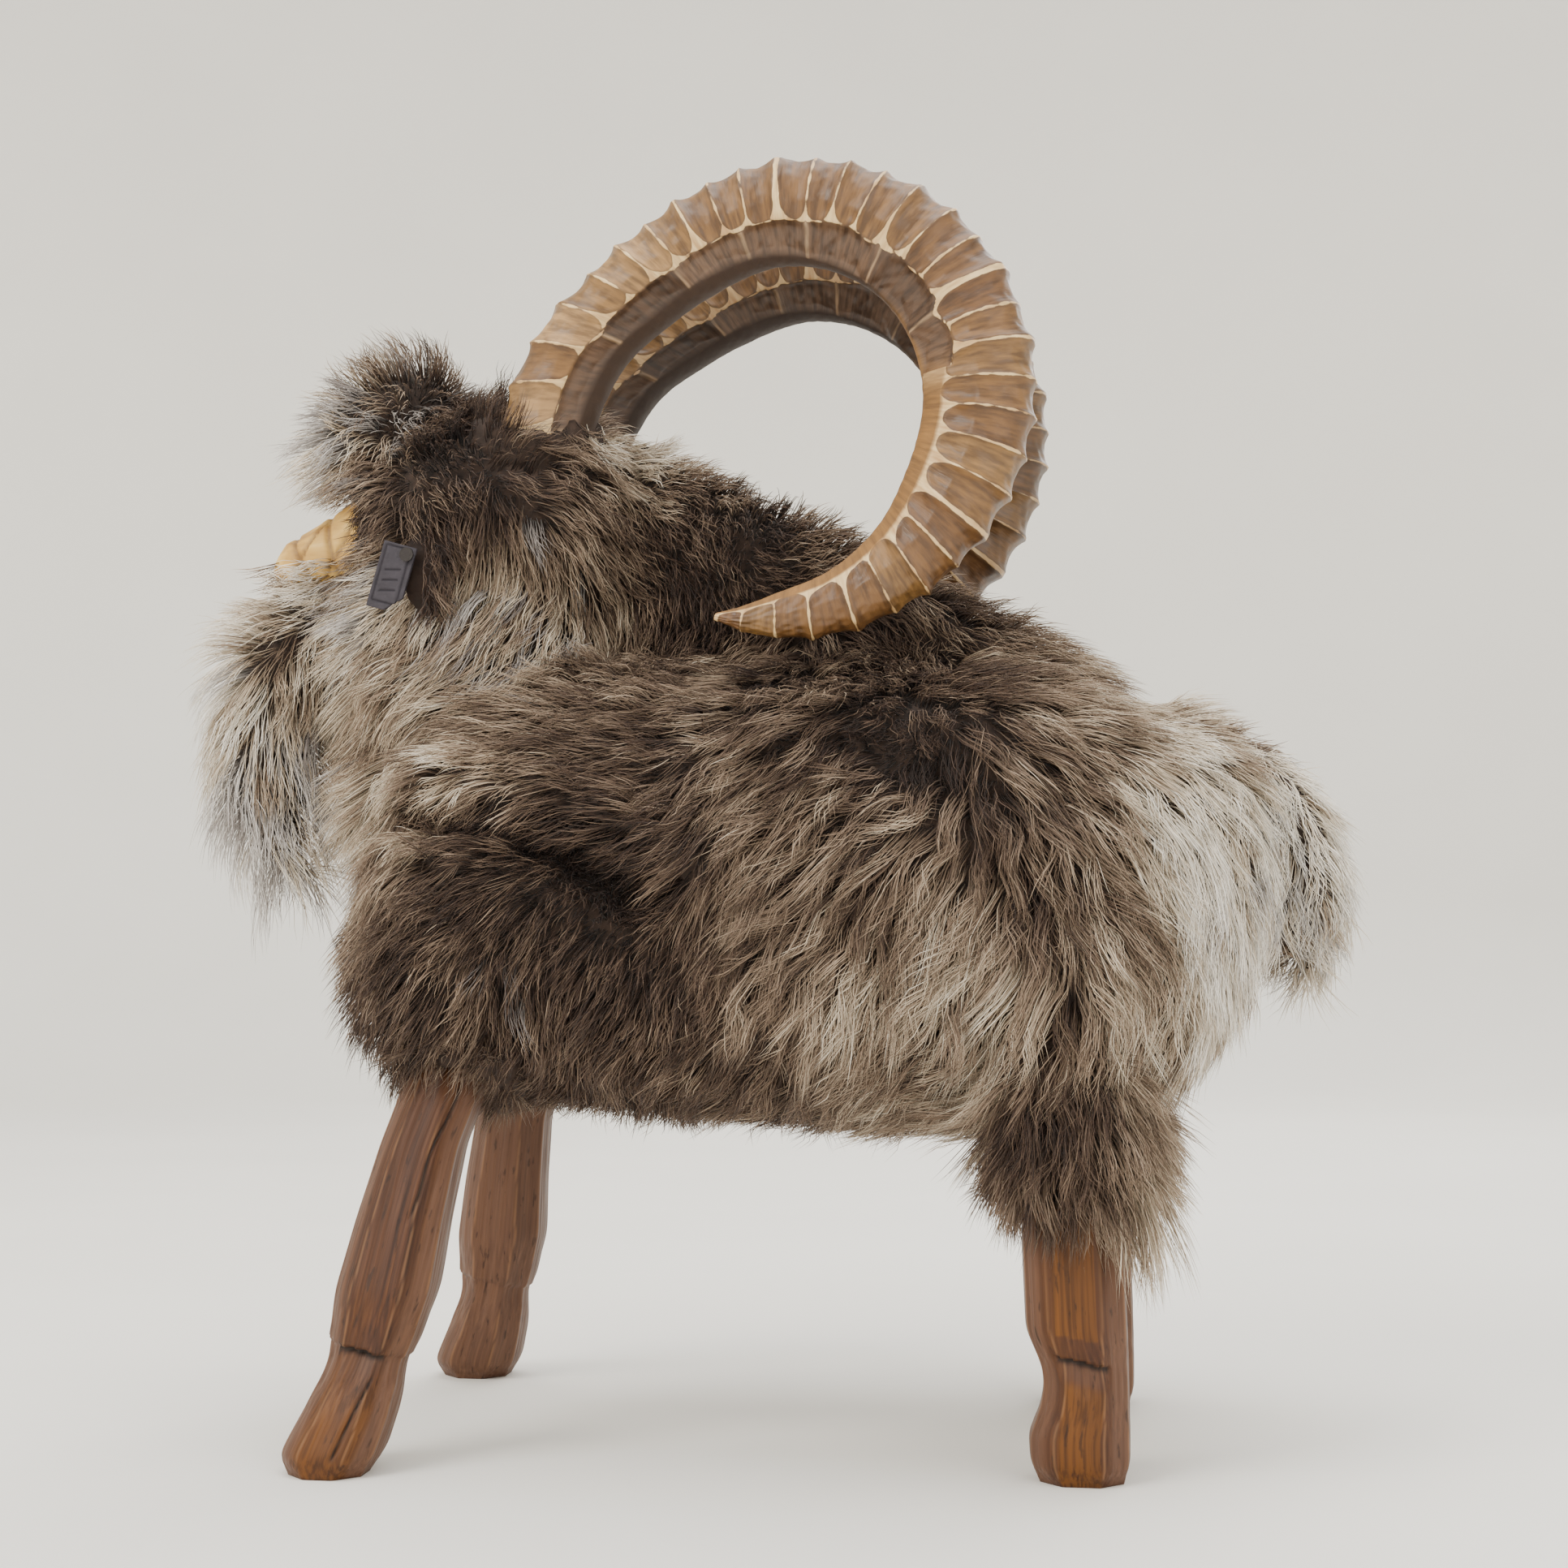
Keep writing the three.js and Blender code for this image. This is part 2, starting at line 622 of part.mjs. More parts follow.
// Soft pieces, each cut back from the ones before it
const spaceOf = (geometry) => solidOf(grown(geometry, CLEAR));
const frameSpaces = Object.values(FRAME).map((ends) => solidOf(grown(board(...ends), CLEAR)));
const boltSpaces = FASTENERS.map((row) => fastenerOf(row, CLEAR));
const neckTimber = [postSpace, solidOf(braceGeometry(CLEAR))];
const headSpace = solidOf(grown(headBlockGeometry, CLEAR));
const hard = [...legSpaces, ...frameSpaces, ...boltSpaces, ...neckTimber];

piece("torso_padding", cut(solidOf(padding), ...hard), "wadding");
piece("torso_fleece", cut(solidOf(torso), spaceOf(padding), ...hard), "brown_fleece");

const rivetSpace = solidOf(rivetGeometry(GAP));
const ears = SIDES.map(([, side]) => cut(solidOf(mirrored(earGeometry(), side)), rivetSpace));
const earSpaces = SIDES.map(([, side]) => solidOf(mirrored(earGeometry(CLEAR), side)));
const headCuts = [headSpace, ...hornSpaces, postSpace, ...earSpaces, rivetSpace, spaceOf(torso)];
piece("head_fleece", cut(solidOf(head), ...headCuts), "brown_fleece");
SIDES.forEach(([name], i) => piece("ear_" + name, ears[i], "leather"));

const neckPad = cut(solidOf(neckPadding), spaceOf(torso), spaceOf(head), ...neckTimber);
piece("neck_padding", neckPad, "wadding");
const neckInside = [spaceOf(neckPadding), headSpace, ...neckTimber];
const neckCuts = [...neckInside, spaceOf(torso), spaceOf(head), ...earSpaces];
piece("neck_fleece", cut(solidOf(neck), ...neckCuts), "light_fleece");
const maneCuts = [spaceOf(neck), spaceOf(torso), spaceOf(head), ...hornSpaces];
piece("mane_fleece", cut(solidOf(mane), ...maneCuts), "brown_fleece");
piece("forehead_tuft", cut(solidOf(tuft), spaceOf(head), headSpace, ...hornSpaces), "brown_fleece");
const beardCuts = [spaceOf(head), headSpace, spaceOf(neck), spaceOf(torso)];
piece("beard_fleece", cut(solidOf(beard), ...beardCuts), "light_fleece");
piece("tail_tuft", cut(solidOf(tail), spaceOf(torso)), "light_fleece");
for (const [name, side] of SIDES) {
  const cuff = solidOf(mirrored(cuffGeometry(), side));
  piece("rear_cuff_" + name, cut(cuff, spaceOf(torso), ...legSpaces), "brown_fleece");
}

piece("ear_tag", cut(solidOf(tagGeometry().applyMatrix4(tagFrame)), rivetSpace), "tag_leather");
piece("tag_rivet", rivetGeometry(), "steel");

// The origin is on the floor, under the middle of the whole ram.
const extent = new THREE.Box3().setFromObject(model);
const middle = extent.getCenter(at(0, 0, 0));
model.position.set(-middle.x, -middle.y, -extent.min.z);

export default model;
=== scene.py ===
"""A stool in the shape of a ram: carved wooden horns and legs, and sheepskin over a padded body.

The wool is real geometry. Roots are scattered over a padded hide, gathered into locks, and each hair is
a thin closed tube that follows the way its part of the fleece is combed. The hide fills the space of the
CAD fleece, less the depth of the wool.
"""

import json
import math

import bmesh
import bpy
import numpy as np
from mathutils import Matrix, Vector, kdtree
from mathutils.bvhtree import BVHTree


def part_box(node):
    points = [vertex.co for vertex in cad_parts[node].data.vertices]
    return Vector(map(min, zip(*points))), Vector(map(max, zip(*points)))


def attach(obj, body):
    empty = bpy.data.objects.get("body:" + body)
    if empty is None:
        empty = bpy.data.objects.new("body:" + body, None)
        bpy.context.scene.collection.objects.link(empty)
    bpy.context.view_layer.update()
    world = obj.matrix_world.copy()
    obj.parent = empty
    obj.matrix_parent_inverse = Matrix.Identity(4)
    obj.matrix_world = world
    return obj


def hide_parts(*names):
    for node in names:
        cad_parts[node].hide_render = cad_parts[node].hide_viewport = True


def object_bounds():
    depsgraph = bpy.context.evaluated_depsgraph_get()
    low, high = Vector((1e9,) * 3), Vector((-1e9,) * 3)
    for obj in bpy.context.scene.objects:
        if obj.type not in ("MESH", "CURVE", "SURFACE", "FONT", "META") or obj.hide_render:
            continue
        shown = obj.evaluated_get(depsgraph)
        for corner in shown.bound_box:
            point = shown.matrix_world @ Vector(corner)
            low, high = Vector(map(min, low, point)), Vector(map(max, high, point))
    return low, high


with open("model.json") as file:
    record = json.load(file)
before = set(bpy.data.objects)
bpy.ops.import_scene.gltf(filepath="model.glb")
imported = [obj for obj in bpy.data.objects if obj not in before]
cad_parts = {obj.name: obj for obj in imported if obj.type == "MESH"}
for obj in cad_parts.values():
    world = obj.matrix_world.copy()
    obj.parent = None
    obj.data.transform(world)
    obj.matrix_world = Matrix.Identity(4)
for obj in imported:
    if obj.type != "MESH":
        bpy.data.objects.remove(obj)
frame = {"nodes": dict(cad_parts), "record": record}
cad_low, cad_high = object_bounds()
NODES = frame["nodes"]
MM = 0.001
SIDES = {"left": 1, "right": -1}

# ---------------------------------------------------------------------------
# Driving dimensions, in millimetres unless they say otherwise
# ---------------------------------------------------------------------------

CAMERA_PLACE = (1465.5, 222.8, 289.5)
CAMERA_AZIMUTH = 98.3  # degrees
CAMERA_PITCH = 3.1  # degrees above level
CAMERA_LENS = 58.66
CAMERA_SENSOR = 36

WOOL_NODES = ["torso_fleece", "neck_fleece", "mane_fleece", "head_fleece", "forehead_tuft",
              "beard_fleece", "tail_tuft"]
FILLING_NODES = ["torso_padding", "neck_padding", "neck_post", "neck_brace", "seat_board", "front_rail",
                 "rear_rail", "side_rail_left", "side_rail_right", "head_block"]
FRAME_NODES = ["seat_board", "front_rail", "rear_rail", "side_rail_left", "side_rail_right"]
FRAME_COVER = 6  # the least padding over the frame, before the hide is smoothed
DEEPEST_SHARE = 0.36  # where the fleece is thin, the hide lies no deeper than this share of its thickness
# How far the hide lies inside the outer surface of the wool
WOOL_DEPTH = {"torso_fleece": 21, "neck_fleece": 19, "mane_fleece": 17, "head_fleece": 15,
              "forehead_tuft": 17, "beard_fleece": 15, "tail_tuft": 11}
HIDE_VOXEL = 6
HIDE_STEPS = 8  # it is drawn in by so many steps, with a little smoothing after each
HIDE_SMOOTHING = 0.14  # how far each point moves to its neighbours' middle in one step
DEPTH_ROUNDS = 12  # rounds of smoothing of how deep the hide lies
STUFFING_PRESSURE = 4
STUFFING_FRAMES = 12
STUFFING_REACH = 5  # the most that the stuffing moves a point of the hide

BODY_HAIRS = 150000
BODY_LOCKS = 9500
CUFF_HAIRS = 6500
CUFF_LOCKS = 420
CUFF_RINGS = 16
CUFF_SPAN = (34, 16)  # the sleeve of hide under a cuff starts and ends so far above the cuff's own ends
CUFF_BULGE = 8
HAIR_RADIUS = 0.32  # at the root
HAIR_KNOTS = 5
HAIRS_PER_PIECE = 8900  # so that each piece stays under 200,000 triangles
EAR_HAIRS = 900
EAR_LOCKS = 90
MUZZLE_HAIRS = 7000
MUZZLE_LOCKS = 900
HIGHEST_LIFT = 21  # the most that a lock stands off the hide
# the exporter keeps a UV layer of this name, and lays out any other piece itself
BAKE_LAYER = "OFBake"  # the UV layer that mesh_of and ring_piece lay out, and that the wool material reads

# How the fleece is combed and what it looks like. Each row: a place on the ram's side [y, z], the way
# the hair lies there [along y, along z], its length, its shade from 0, darkest, to 1, palest, or past 1
# where nearly every hair is pale, and its curl from 0, plush, to 1, long wavy locks.
COMB = [
    # neck and cheeks
    [-142, 419, -0.8, -0.55, 34, 0.4, 0.15],
    [-160, 386, -0.7, -0.7, 34, 0.66, 0.2],
    [-120, 388, -0.8, -0.6, 32, 0.48, 0.15],
    [-85, 408, -0.85, -0.5, 32, 0.32, 0.1],
    [-180, 360, -0.55, -0.85, 36, 0.66, 0.25],
    [-198, 400, -0.5, -0.85, 38, 0.48, 0.2],
    [-205, 425, -0.5, -0.85, 38, 0.58, 0.2],
    [-222, 392, -0.85, -0.5, 60, 0.66, 0.25],
    [-205, 355, -0.6, -0.8, 50, 0.62, 0.3],
    [-60, 425, -0.8, -0.45, 32, 0.34, 0.1],
    [-118, 470, -0.25, -0.97, 42, 0.72, 0.4],
    [-150, 480, -0.3, -0.95, 42, 0.62, 0.4],
    [-160, 445, -0.45, -0.85, 38, 0.7, 0.3],
    [-195, 455, -0.6, -0.8, 34, 0.7, 0.2],
    [-230, 470, -0.7, -0.6, 30, 0.72, 0.15],
    [-108, 500, 0.05, -0.98, 36, 0.44, 0.3],
    [-90, 450, 0, -1, 36, 0.62, 0.3],
    [-215, 525, -0.55, -0.6, 26, 0.24, 0.1],
    # crown, and the plush that covers the roots of the horns
    [-120, 540, 0.55, -0.65, 27, 0.14, 0.1],
    [-165, 540, 0.35, -0.85, 28, 0.16, 0.1],
    [-145, 558, 0.8, -0.3, 30, 0.15, 0.1],
    [-120, 556, 0.8, -0.25, 30, 0.16, 0.1],
    [-112, 584, 0.4, 0.8, 30, 0.15, 0],
    [-150, 594, 0.25, 0.85, 30, 0.13, 0],
    [-104, 540, 0.6, -0.6, 26, 0.24, 0.1],
    [-86, 566, 0.5, -0.2, 28, 1.4, 0.2],
    [-70, 578, 0.5, 0.6, 30, 1.4, 0.2],
    [-85, 530, 0.4, -0.85, 28, 0.5, 0.2],
    [-60, 500, 0.3, -0.85, 26, 0.18, 0],
    [-40, 530, 0.5, -0.5, 26, 0.18, 0],
    # chest and front flank
    [-60, 355, -0.8, -0.6, 30, 0.23, 0.1],
    [-110, 360, -0.85, -0.5, 32, 0.28, 0.1],
    # the pit where the fold ends, kept darker than the wool around it: painted shade
    [-47, 300, -0.6, -0.8, 26, 0.12, 0],
    [-166, 296, -0.55, -0.83, 32, 0.25, 0.05],
    [-174, 242, -0.3, -0.95, 32, 0.21, 0.05],
    [-225, 320, -0.35, -0.93, 40, 0.46, 0.2],
    [-228, 260, -0.2, -0.98, 36, 0.26, 0.1],
    [-81, 263, -0.35, -0.93, 30, 0.2, 0.05],
    [-60, 213, -0.3, -0.95, 30, 0.24, 0.1],
    [-160, 205, -0.3, -0.95, 32, 0.23, 0.1],
    # shoulder, back and mane
    [0, 346, -0.5, -0.87, 38, 0.36, 0.4],
    [3, 409, -0.45, -0.89, 36, 0.36, 0.35],
    [60, 395, -0.35, -0.93, 44, 0.36, 0.55],
    [100, 385, 0.1, -1, 40, 0.17, 0.35],
    [150, 400, 0.75, -0.65, 44, 0.38, 0.3],
    [70, 440, 0.4, -0.8, 30, 0.25, 0.1],
    [-55, 475, 0.2, -0.9, 26, 0.14, 0],
    [-30, 556, 0.45, 0.3, 28, 0.44, 0.05],
    [0, 520, 0.45, -0.6, 26, 0.22, 0],
    [34, 512, 0.6, 0.2, 26, 0.4, 0.05],
    [110, 470, 0.6, -0.7, 30, 0.37, 0.1],
    # middle flank
    [30, 300, -0.6, -0.8, 44, 0.4, 0.7],
    [79, 271, -0.65, -0.75, 48, 0.58, 0.9],
    [60, 330, -0.5, -0.87, 46, 0.42, 0.8],
    [45, 213, -0.5, -0.85, 42, 0.32, 0.6],
    [100, 330, -0.35, -0.93, 48, 0.46, 0.9],
    # rump and thigh
    [150, 430, 0.8, -0.5, 34, 0.46, 0.15],
    [195, 435, 0.85, -0.45, 34, 0.7, 0.15],
    [250, 430, 0.6, -0.7, 22, 0.78, 0.1],
    [285, 400, 0, -1, 22, 0.78, 0.15],
    [252, 388, 0.6, -0.8, 36, 0.58, 0.3],
    [293, 361, 0, -1, 26, 0.86, 0.3],
    [195, 395, 0.75, -0.65, 44, 0.62, 0.3],
    [217, 358, 0.6, -0.8, 50, 0.95, 0.4],
    [246, 312, 0.4, -0.92, 50, 1.12, 0.45],
    [266, 280, 0.15, -0.98, 46, 1.12, 0.45],
    [260, 244, 0, -1, 42, 0.9, 0.4],
    [160, 370, 0.4, -0.9, 46, 0.34, 0.4],
    [188, 335, 0.2, -0.95, 48, 0.34, 0.5],
    [218, 300, 0.2, -0.97, 50, 0.56, 0.5],
    [214, 255, 0, -1, 50, 0.5, 0.6],
    [288, 300, 0.1, -0.98, 34, 0.54, 0.4],
    [280, 250, -0.1, -0.98, 32, 0.56, 0.4],
    [151, 325, -0.15, -0.98, 50, 0.36, 0.8],
    [151, 263, -0.6, -0.8, 52, 0.58, 1],
    [120, 215, -0.6, -0.8, 48, 0.5, 1],
    [195, 220, -0.2, -0.98, 44, 0.32, 0.6],
    [232, 208, 0, -1, 42, 0.32, 0.45],
    [255, 205, 0, -1, 38, 0.62, 0.4],
    # tail
    [312, 345, 0.2, -0.95, 25, 1.2, 0.3],
    [326, 305, 0.4, -0.9, 24, 1.25, 0.3],
    # beard
    [-262, 478, -0.8, 0.2, 34, 0.82, 0.1],
    [-290, 468, -0.85, -0.25, 38, 0.76, 0.1],
    [-310, 425, -0.25, -0.97, 46, 0.74, 0.15],
    [-268, 430, 0.35, -0.9, 46, 0.68, 0.15],
    [-272, 395, 0.45, -0.88, 50, 0.66, 0.15],
    [-305, 360, 0.05, -1, 48, 0.84, 0.2],
    [-272, 350, 0.5, -0.86, 48, 0.56, 0.15],
    # forehead tuft
    [-265, 590, -0.75, -0.4, 26, 0.74, 0.1],
    [-240, 620, -0.5, 0.5, 24, 0.62, 0.05],
    [-200, 625, 0.05, 0.95, 36, 0.22, 0],
    [-185, 588, 0.6, -0.2, 28, 0.16, 0.05],
    [-232, 575, -0.5, -0.6, 28, 0.66, 0.1],
]
COMB_REACH = 22  # how far a row's influence carries
SIDEWAYS = 0.45  # how much the hair lies away from the spine where the back is level

# Places where the wool has a grey-lilac cast: [y, z, radius, strength]
GREY = [
    [-305, 345, 55, 0.9],
    [-265, 585, 34, 0.55],
    [-228, 578, 30, 0.7],
    [-215, 480, 34, 0.4],
    [-150, 455, 40, 0.22],
    [-100, 262, 24, 0.4],
    [310, 300, 40, 0.4],
]

# Folds pressed into the hide: a line on the ram's side from (y, z) to (y, z), its depth and half width.
# The hide swells out in a roll over each.
FOLDS = [
    [(-190, 354), (-112, 338), 15, 10],
    [(-112, 338), (-47, 308), 16, 11],
    [(60, 392), (118, 372), 9, 13],
]
ROLL_SHARE = 0.6  # height of the roll, as a share of the fold's depth
ROLL_RISE = 2.6  # how far over the fold the roll is highest, in half widths of the fold
ROLL_WIDTH = 1.5  # half width of the roll, in the same measure
ROOM_IN_FOLD = 7  # the longest hair beside a fold
ROOM_RISE = 0.75  # and how much longer it may be for each millimetre over the fold
ON_SIDE = (60, 110)  # the folds start and are full at these distances from the middle of the ram

# The horn, as in the CAD source: [angle round the ring, outer radius, half the radial thickness,
# half width, distance from X = 0], from the tip to the root
HORN_ROWS = np.array([
    [-108, 134, 2, 3, 80],
    [-94, 139, 12.5, 10, 79],
    [-78, 140, 18, 15, 78],
    [-60, 139, 23, 20, 77],
    [-38, 138, 28.5, 25, 76],
    [0, 138, 32, 28, 74],
    [45, 136, 32, 29, 71],
    [90, 133, 30, 29, 67],
    [135, 133, 27.5, 29, 59],
    [150, 141, 27.5, 29, 55],
    [165, 156, 28, 29, 50],
    [180, 170, 28.5, 29, 46],
    [194, 184, 29, 29, 43],
], float)
HORN_CENTRE = (23.05, 584)
HORN_FACET = 9.3  # degrees round the ring from one facet to the next
HORN_RINGS = 800
HORN_AROUND = 120
FACET_DEPTH = 3.6
SCOOP_DEPTH = 4.2
CUTS = 80  # after so many cuts in a row its unevenness repeats

LEG_AROUND = 144
LEG_STEP = 1.3
LEG_STRAIGHT = 240  # above this height a leg is hidden and its section stays the same
LEG_ROUNDS = 14  # rounds of smoothing down the leg
NOTCH_HEIGHT = 64
NOTCH_WIDTH = 28
NOTCH_DEPTH = 5.6
SAW_STEP = 1.5  # on the front legs the cut runs on round the leg, this deep
# Drying cracks in the front legs: from height to height, and from angle to angle round the leg
CRACKS = [
    [128, 225, 20, 40],
    [8, 52, 12, 26],
]
CRACK_DEPTH = 3

# Gouge lines over the nose: the y where each starts, how it slants with the height, and its half width
NOSE_LINES = [
    [-296, 0.35, 1.5],
    [-283, -0.55, 1.7],
    [-270, 0.5, 1.4],
    [-258, -0.3, 1.8],
    [-246, 0.6, 1.5],
]
NOSE_BARE = (503, 534)  # heights between which the nose has no wool
NOSE_START = -239
NOSE_HALF_WIDTH = 46

TAG_LEAN = 16  # degrees
TAG_FRAME = (7.2, 16)  # half sizes of the line tooled inside the tag's edge
TAG_STROKES = (-9, -3, 3)
TAG_STROKE = 4.5  # half the length of a stroke

# ---------------------------------------------------------------------------
# Small helpers
# ---------------------------------------------------------------------------


def lengths(vectors):
    return np.linalg.norm(vectors, axis=-1, keepdims=True)


def unit(vectors):
    return vectors / np.maximum(lengths(vectors), 1e-12)


def smoothstep(low, high, value):
    t = np.clip((value - low) / (high - low), 0, 1)
    return t * t * (3 - 2 * t)


def noise(points, size, seed, waves=9):
    """Smooth noise over points, about -1 to 1, with features about size millimetres across."""
    own = np.random.default_rng(seed)
    directions = unit(own.normal(size=(waves, 3))) * own.uniform(0.6, 1.5, (waves, 1))
    phases = own.uniform(0, 2 * math.pi, waves)
    return np.sin(points / (size * MM) * math.pi @ directions.T + phases).sum(1) / math.sqrt(waves)


def coordinates(mesh):
    co = np.empty(len(mesh.vertices) * 3, np.float32)
    mesh.vertices.foreach_get("co", co)
    return co.reshape(-1, 3).astype(float)


def normals_of(mesh):
    values = np.empty(len(mesh.vertices) * 3, np.float32)
    mesh.vertex_normals.foreach_get("vector", values)
    return values.reshape(-1, 3).astype(float)


def set_coordinates(mesh, points):
    mesh.vertices.foreach_set("co", points.astype(np.float32).ravel())
    mesh.update()


def put_attribute(mesh, name, values):
    kind = "FLOAT" if values.ndim == 1 else "FLOAT_VECTOR"
    layer = mesh.attributes.new(name, kind, "POINT")
    layer.data.foreach_set("value" if values.ndim == 1 else "vector", values.astype(np.float32).ravel())


def smooth_shaded(mesh):
    for polygon in mesh.polygons:
        polygon.use_smooth = True


def new_object(name, mesh, body="ram"):
    piece = bpy.data.objects.new(name, mesh)
    bpy.context.scene.collection.objects.link(piece)
    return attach(piece, body) or piece


def mesh_of(name, points, faces, uv):
    """A smooth mesh from arrays of points, faces with equal numbers of corners, and each point's UV."""
    faces = np.asarray(faces, np.int32)
    count, corners = faces.shape
    mesh = bpy.data.meshes.new(name)
    mesh.vertices.add(len(points))
    mesh.vertices.foreach_set("co", np.asarray(points, np.float32).ravel())
    mesh.loops.add(count * corners)
    mesh.loops.foreach_set("vertex_index", faces.ravel())
    mesh.polygons.add(count)
    mesh.polygons.foreach_set("loop_start", np.arange(0, count * corners, corners, dtype=np.int32))
    mesh.update(calc_edges=True)
    mesh.polygons.foreach_set("use_smooth", np.ones(count, bool))
    layer = mesh.uv_layers.new(name=BAKE_LAYER)
    layer.data.foreach_set("uv", uv[faces.ravel()].astype(np.float32).ravel())
    return mesh


def copied(name, nodes, voxel, rounds, body="ram"):
    """A fine, even copy of CAD nodes as one piece: remeshed at voxel millimetres, then smoothed."""
    build = bmesh.new()
    for node in nodes:
        build.from_mesh(NODES[node].data)
    bmesh.ops.remove_doubles(build, verts=build.verts, dist=1e-6)
    mesh = bpy.data.meshes.new(name)
    build.to_mesh(mesh)
    build.free()
    piece = new_object(name, mesh, body)
    remesh = piece.modifiers.new("even", "REMESH")
    remesh.mode = "VOXEL"
    remesh.voxel_size = voxel * MM
    remesh.use_smooth_shade = True
    smooth = piece.modifiers.new("smooth", "SMOOTH")
    smooth.iterations = rounds
    apply_modifiers(piece)
    return piece


def apply_modifiers(piece):
    graph = bpy.context.evaluated_depsgraph_get()
    finished = bpy.data.meshes.new_from_object(piece.evaluated_get(graph))
    piece.modifiers.clear()
    piece.data = finished
    smooth_shaded(finished)


def ring_piece(name, rings):
    """A closed piece from rings[ring, around, xyz], which turn left round the way they run."""
    count, around, _ = rings.shape
    ends = rings[[0, -1]].mean(1)
    points = np.concatenate([rings.reshape(-1, 3), ends])
    ring = np.arange(count - 1)[:, None] * around
    column = np.arange(around)[None, :]
    following = (column + 1) % around
    walls = np.stack([ring + column, ring + following, ring + around + following,
                      ring + around + column], -1).reshape(-1, 4)
    mesh = bpy.data.meshes.new(name)
    first, last = count * around, count * around + 1
    top = (count - 1) * around
    caps = [(first, (i + 1) % around, i) for i in range(around)]
    caps += [(last, top + i, top + (i + 1) % around) for i in range(around)]
    mesh.from_pydata([tuple(p) for p in points], [], [tuple(f) for f in walls] + caps)
    layer = mesh.uv_layers.new(name=BAKE_LAYER)
    u = np.tile(np.stack([column[0], column[0] + 1, column[0] + 1, column[0]], -1), (count - 1, 1, 1))
    v = (ring // around)[:, :, None] + np.array([0, 0, 1, 1])[None, None, :] + 0 * u
    walls_uv = np.stack([u / around, 0.02 + 0.96 * v / (count - 1)], -1).reshape(-1, 2)
    caps_uv = []
    for low, high in ((0.0, 0.02), (1.0, 0.98)):
        for i in range(around):
            pair = [((i + 1) / around, high), (i / around, high)]
            caps_uv += [((i + 0.5) / around, low)] + (pair if low < 0.5 else pair[::-1])
    layer.data.foreach_set("uv", np.concatenate([walls_uv, caps_uv]).astype(np.float32).ravel())
    smooth_shaded(mesh)
    return new_object(name, mesh)


def put_ring_attributes(piece, values, grain):
    """Attributes from values at each ring point. The middles of the two end caps get 0."""
    for key, value in values.items():
        put_attribute(piece.data, key, np.append(value.ravel(), [0, 0]))
    put_attribute(piece.data, "grain", np.concatenate([grain.reshape(-1, 3), np.zeros((2, 3))]))


# ---------------------------------------------------------------------------
# Materials
# ---------------------------------------------------------------------------


def linear(code):
    """A linear colour with alpha from a six-figure sRGB code."""
    channels = [int(code[i:i + 2], 16) / 255 for i in (0, 2, 4)]
    return [c / 12.92 if c <= 0.04045 else ((c + 0.055) / 1.055) ** 2.4 for c in channels] + [1]


class Nodes:
    """A material, with short calls that add its nodes."""

    def __init__(self, name, roughness=0.6):
        self.material = bpy.data.materials.new(name)
        self.material.use_nodes = True
        self.tree = self.material.node_tree
        self.shader = self.tree.nodes["Principled BSDF"]
        self.surface("Roughness", roughness)

    def add(self, kind, **inputs):
        node = self.tree.nodes.new("ShaderNode" + kind)
        for key, value in inputs.items():
            self.set(node.inputs[key.replace("_", " ")], value)
        return node

    def set(self, socket, value):
        if isinstance(value, bpy.types.NodeSocket):
            self.tree.links.new(value, socket)
        else:
            socket.default_value = value

    def attribute(self, name, vector=False):
        node = self.add("Attribute")
        node.attribute_name = name
        return node.outputs["Vector" if vector else "Fac"]

    def noise(self, vector, scale, detail=4, stretch=(1, 1, 1)):
        mapping = self.add("Mapping", Vector=vector, Scale=stretch)
        return self.add("TexNoise", Vector=mapping.outputs[0], Scale=scale, Detail=detail).outputs["Fac"]

    def ramp(self, value, *stops):
        """A colour from value. Each stop is (place, sRGB code) or (place, grey level)."""
        node = self.add("ValToRGB", Fac=value)
        elements = node.color_ramp.elements
        while len(elements) < len(stops):
            elements.new(0.5)
        for element, (place, colour) in zip(elements, stops):
            element.position = place
            element.color = linear(colour) if isinstance(colour, str) else (colour, colour, colour, 1)
        return node.outputs["Color"]

    def mix(self, share, a, b, way="MIX"):
        node = self.add("Mix")
        node.data_type = "RGBA"  # its colours go in at 6 and 7 and come out at 2
        node.blend_type = way
        self.set(node.inputs[0], share)
        self.set(node.inputs[6], linear(a) if isinstance(a, str) else a)
        self.set(node.inputs[7], linear(b) if isinstance(b, str) else b)
        return node.outputs[2]

    def maths(self, way, *values):
        node = self.add("Math")
        node.operation = way
        for socket, value in zip(node.inputs, values):
            self.set(socket, value)
        return node.outputs[0]

    def bump(self, height, strength, distance=1):
        node = self.add("Bump", Height=height, Strength=strength, Distance=distance * MM)
        self.surface("Normal", node.outputs[0])

    def surface(self, key, value):
        self.set(self.shader.inputs[key], value)

    def colour(self, value):
        self.surface("Base Color", value)
        return self.material


def object_place(nodes):
    return nodes.add("TexCoord").outputs["Object"]


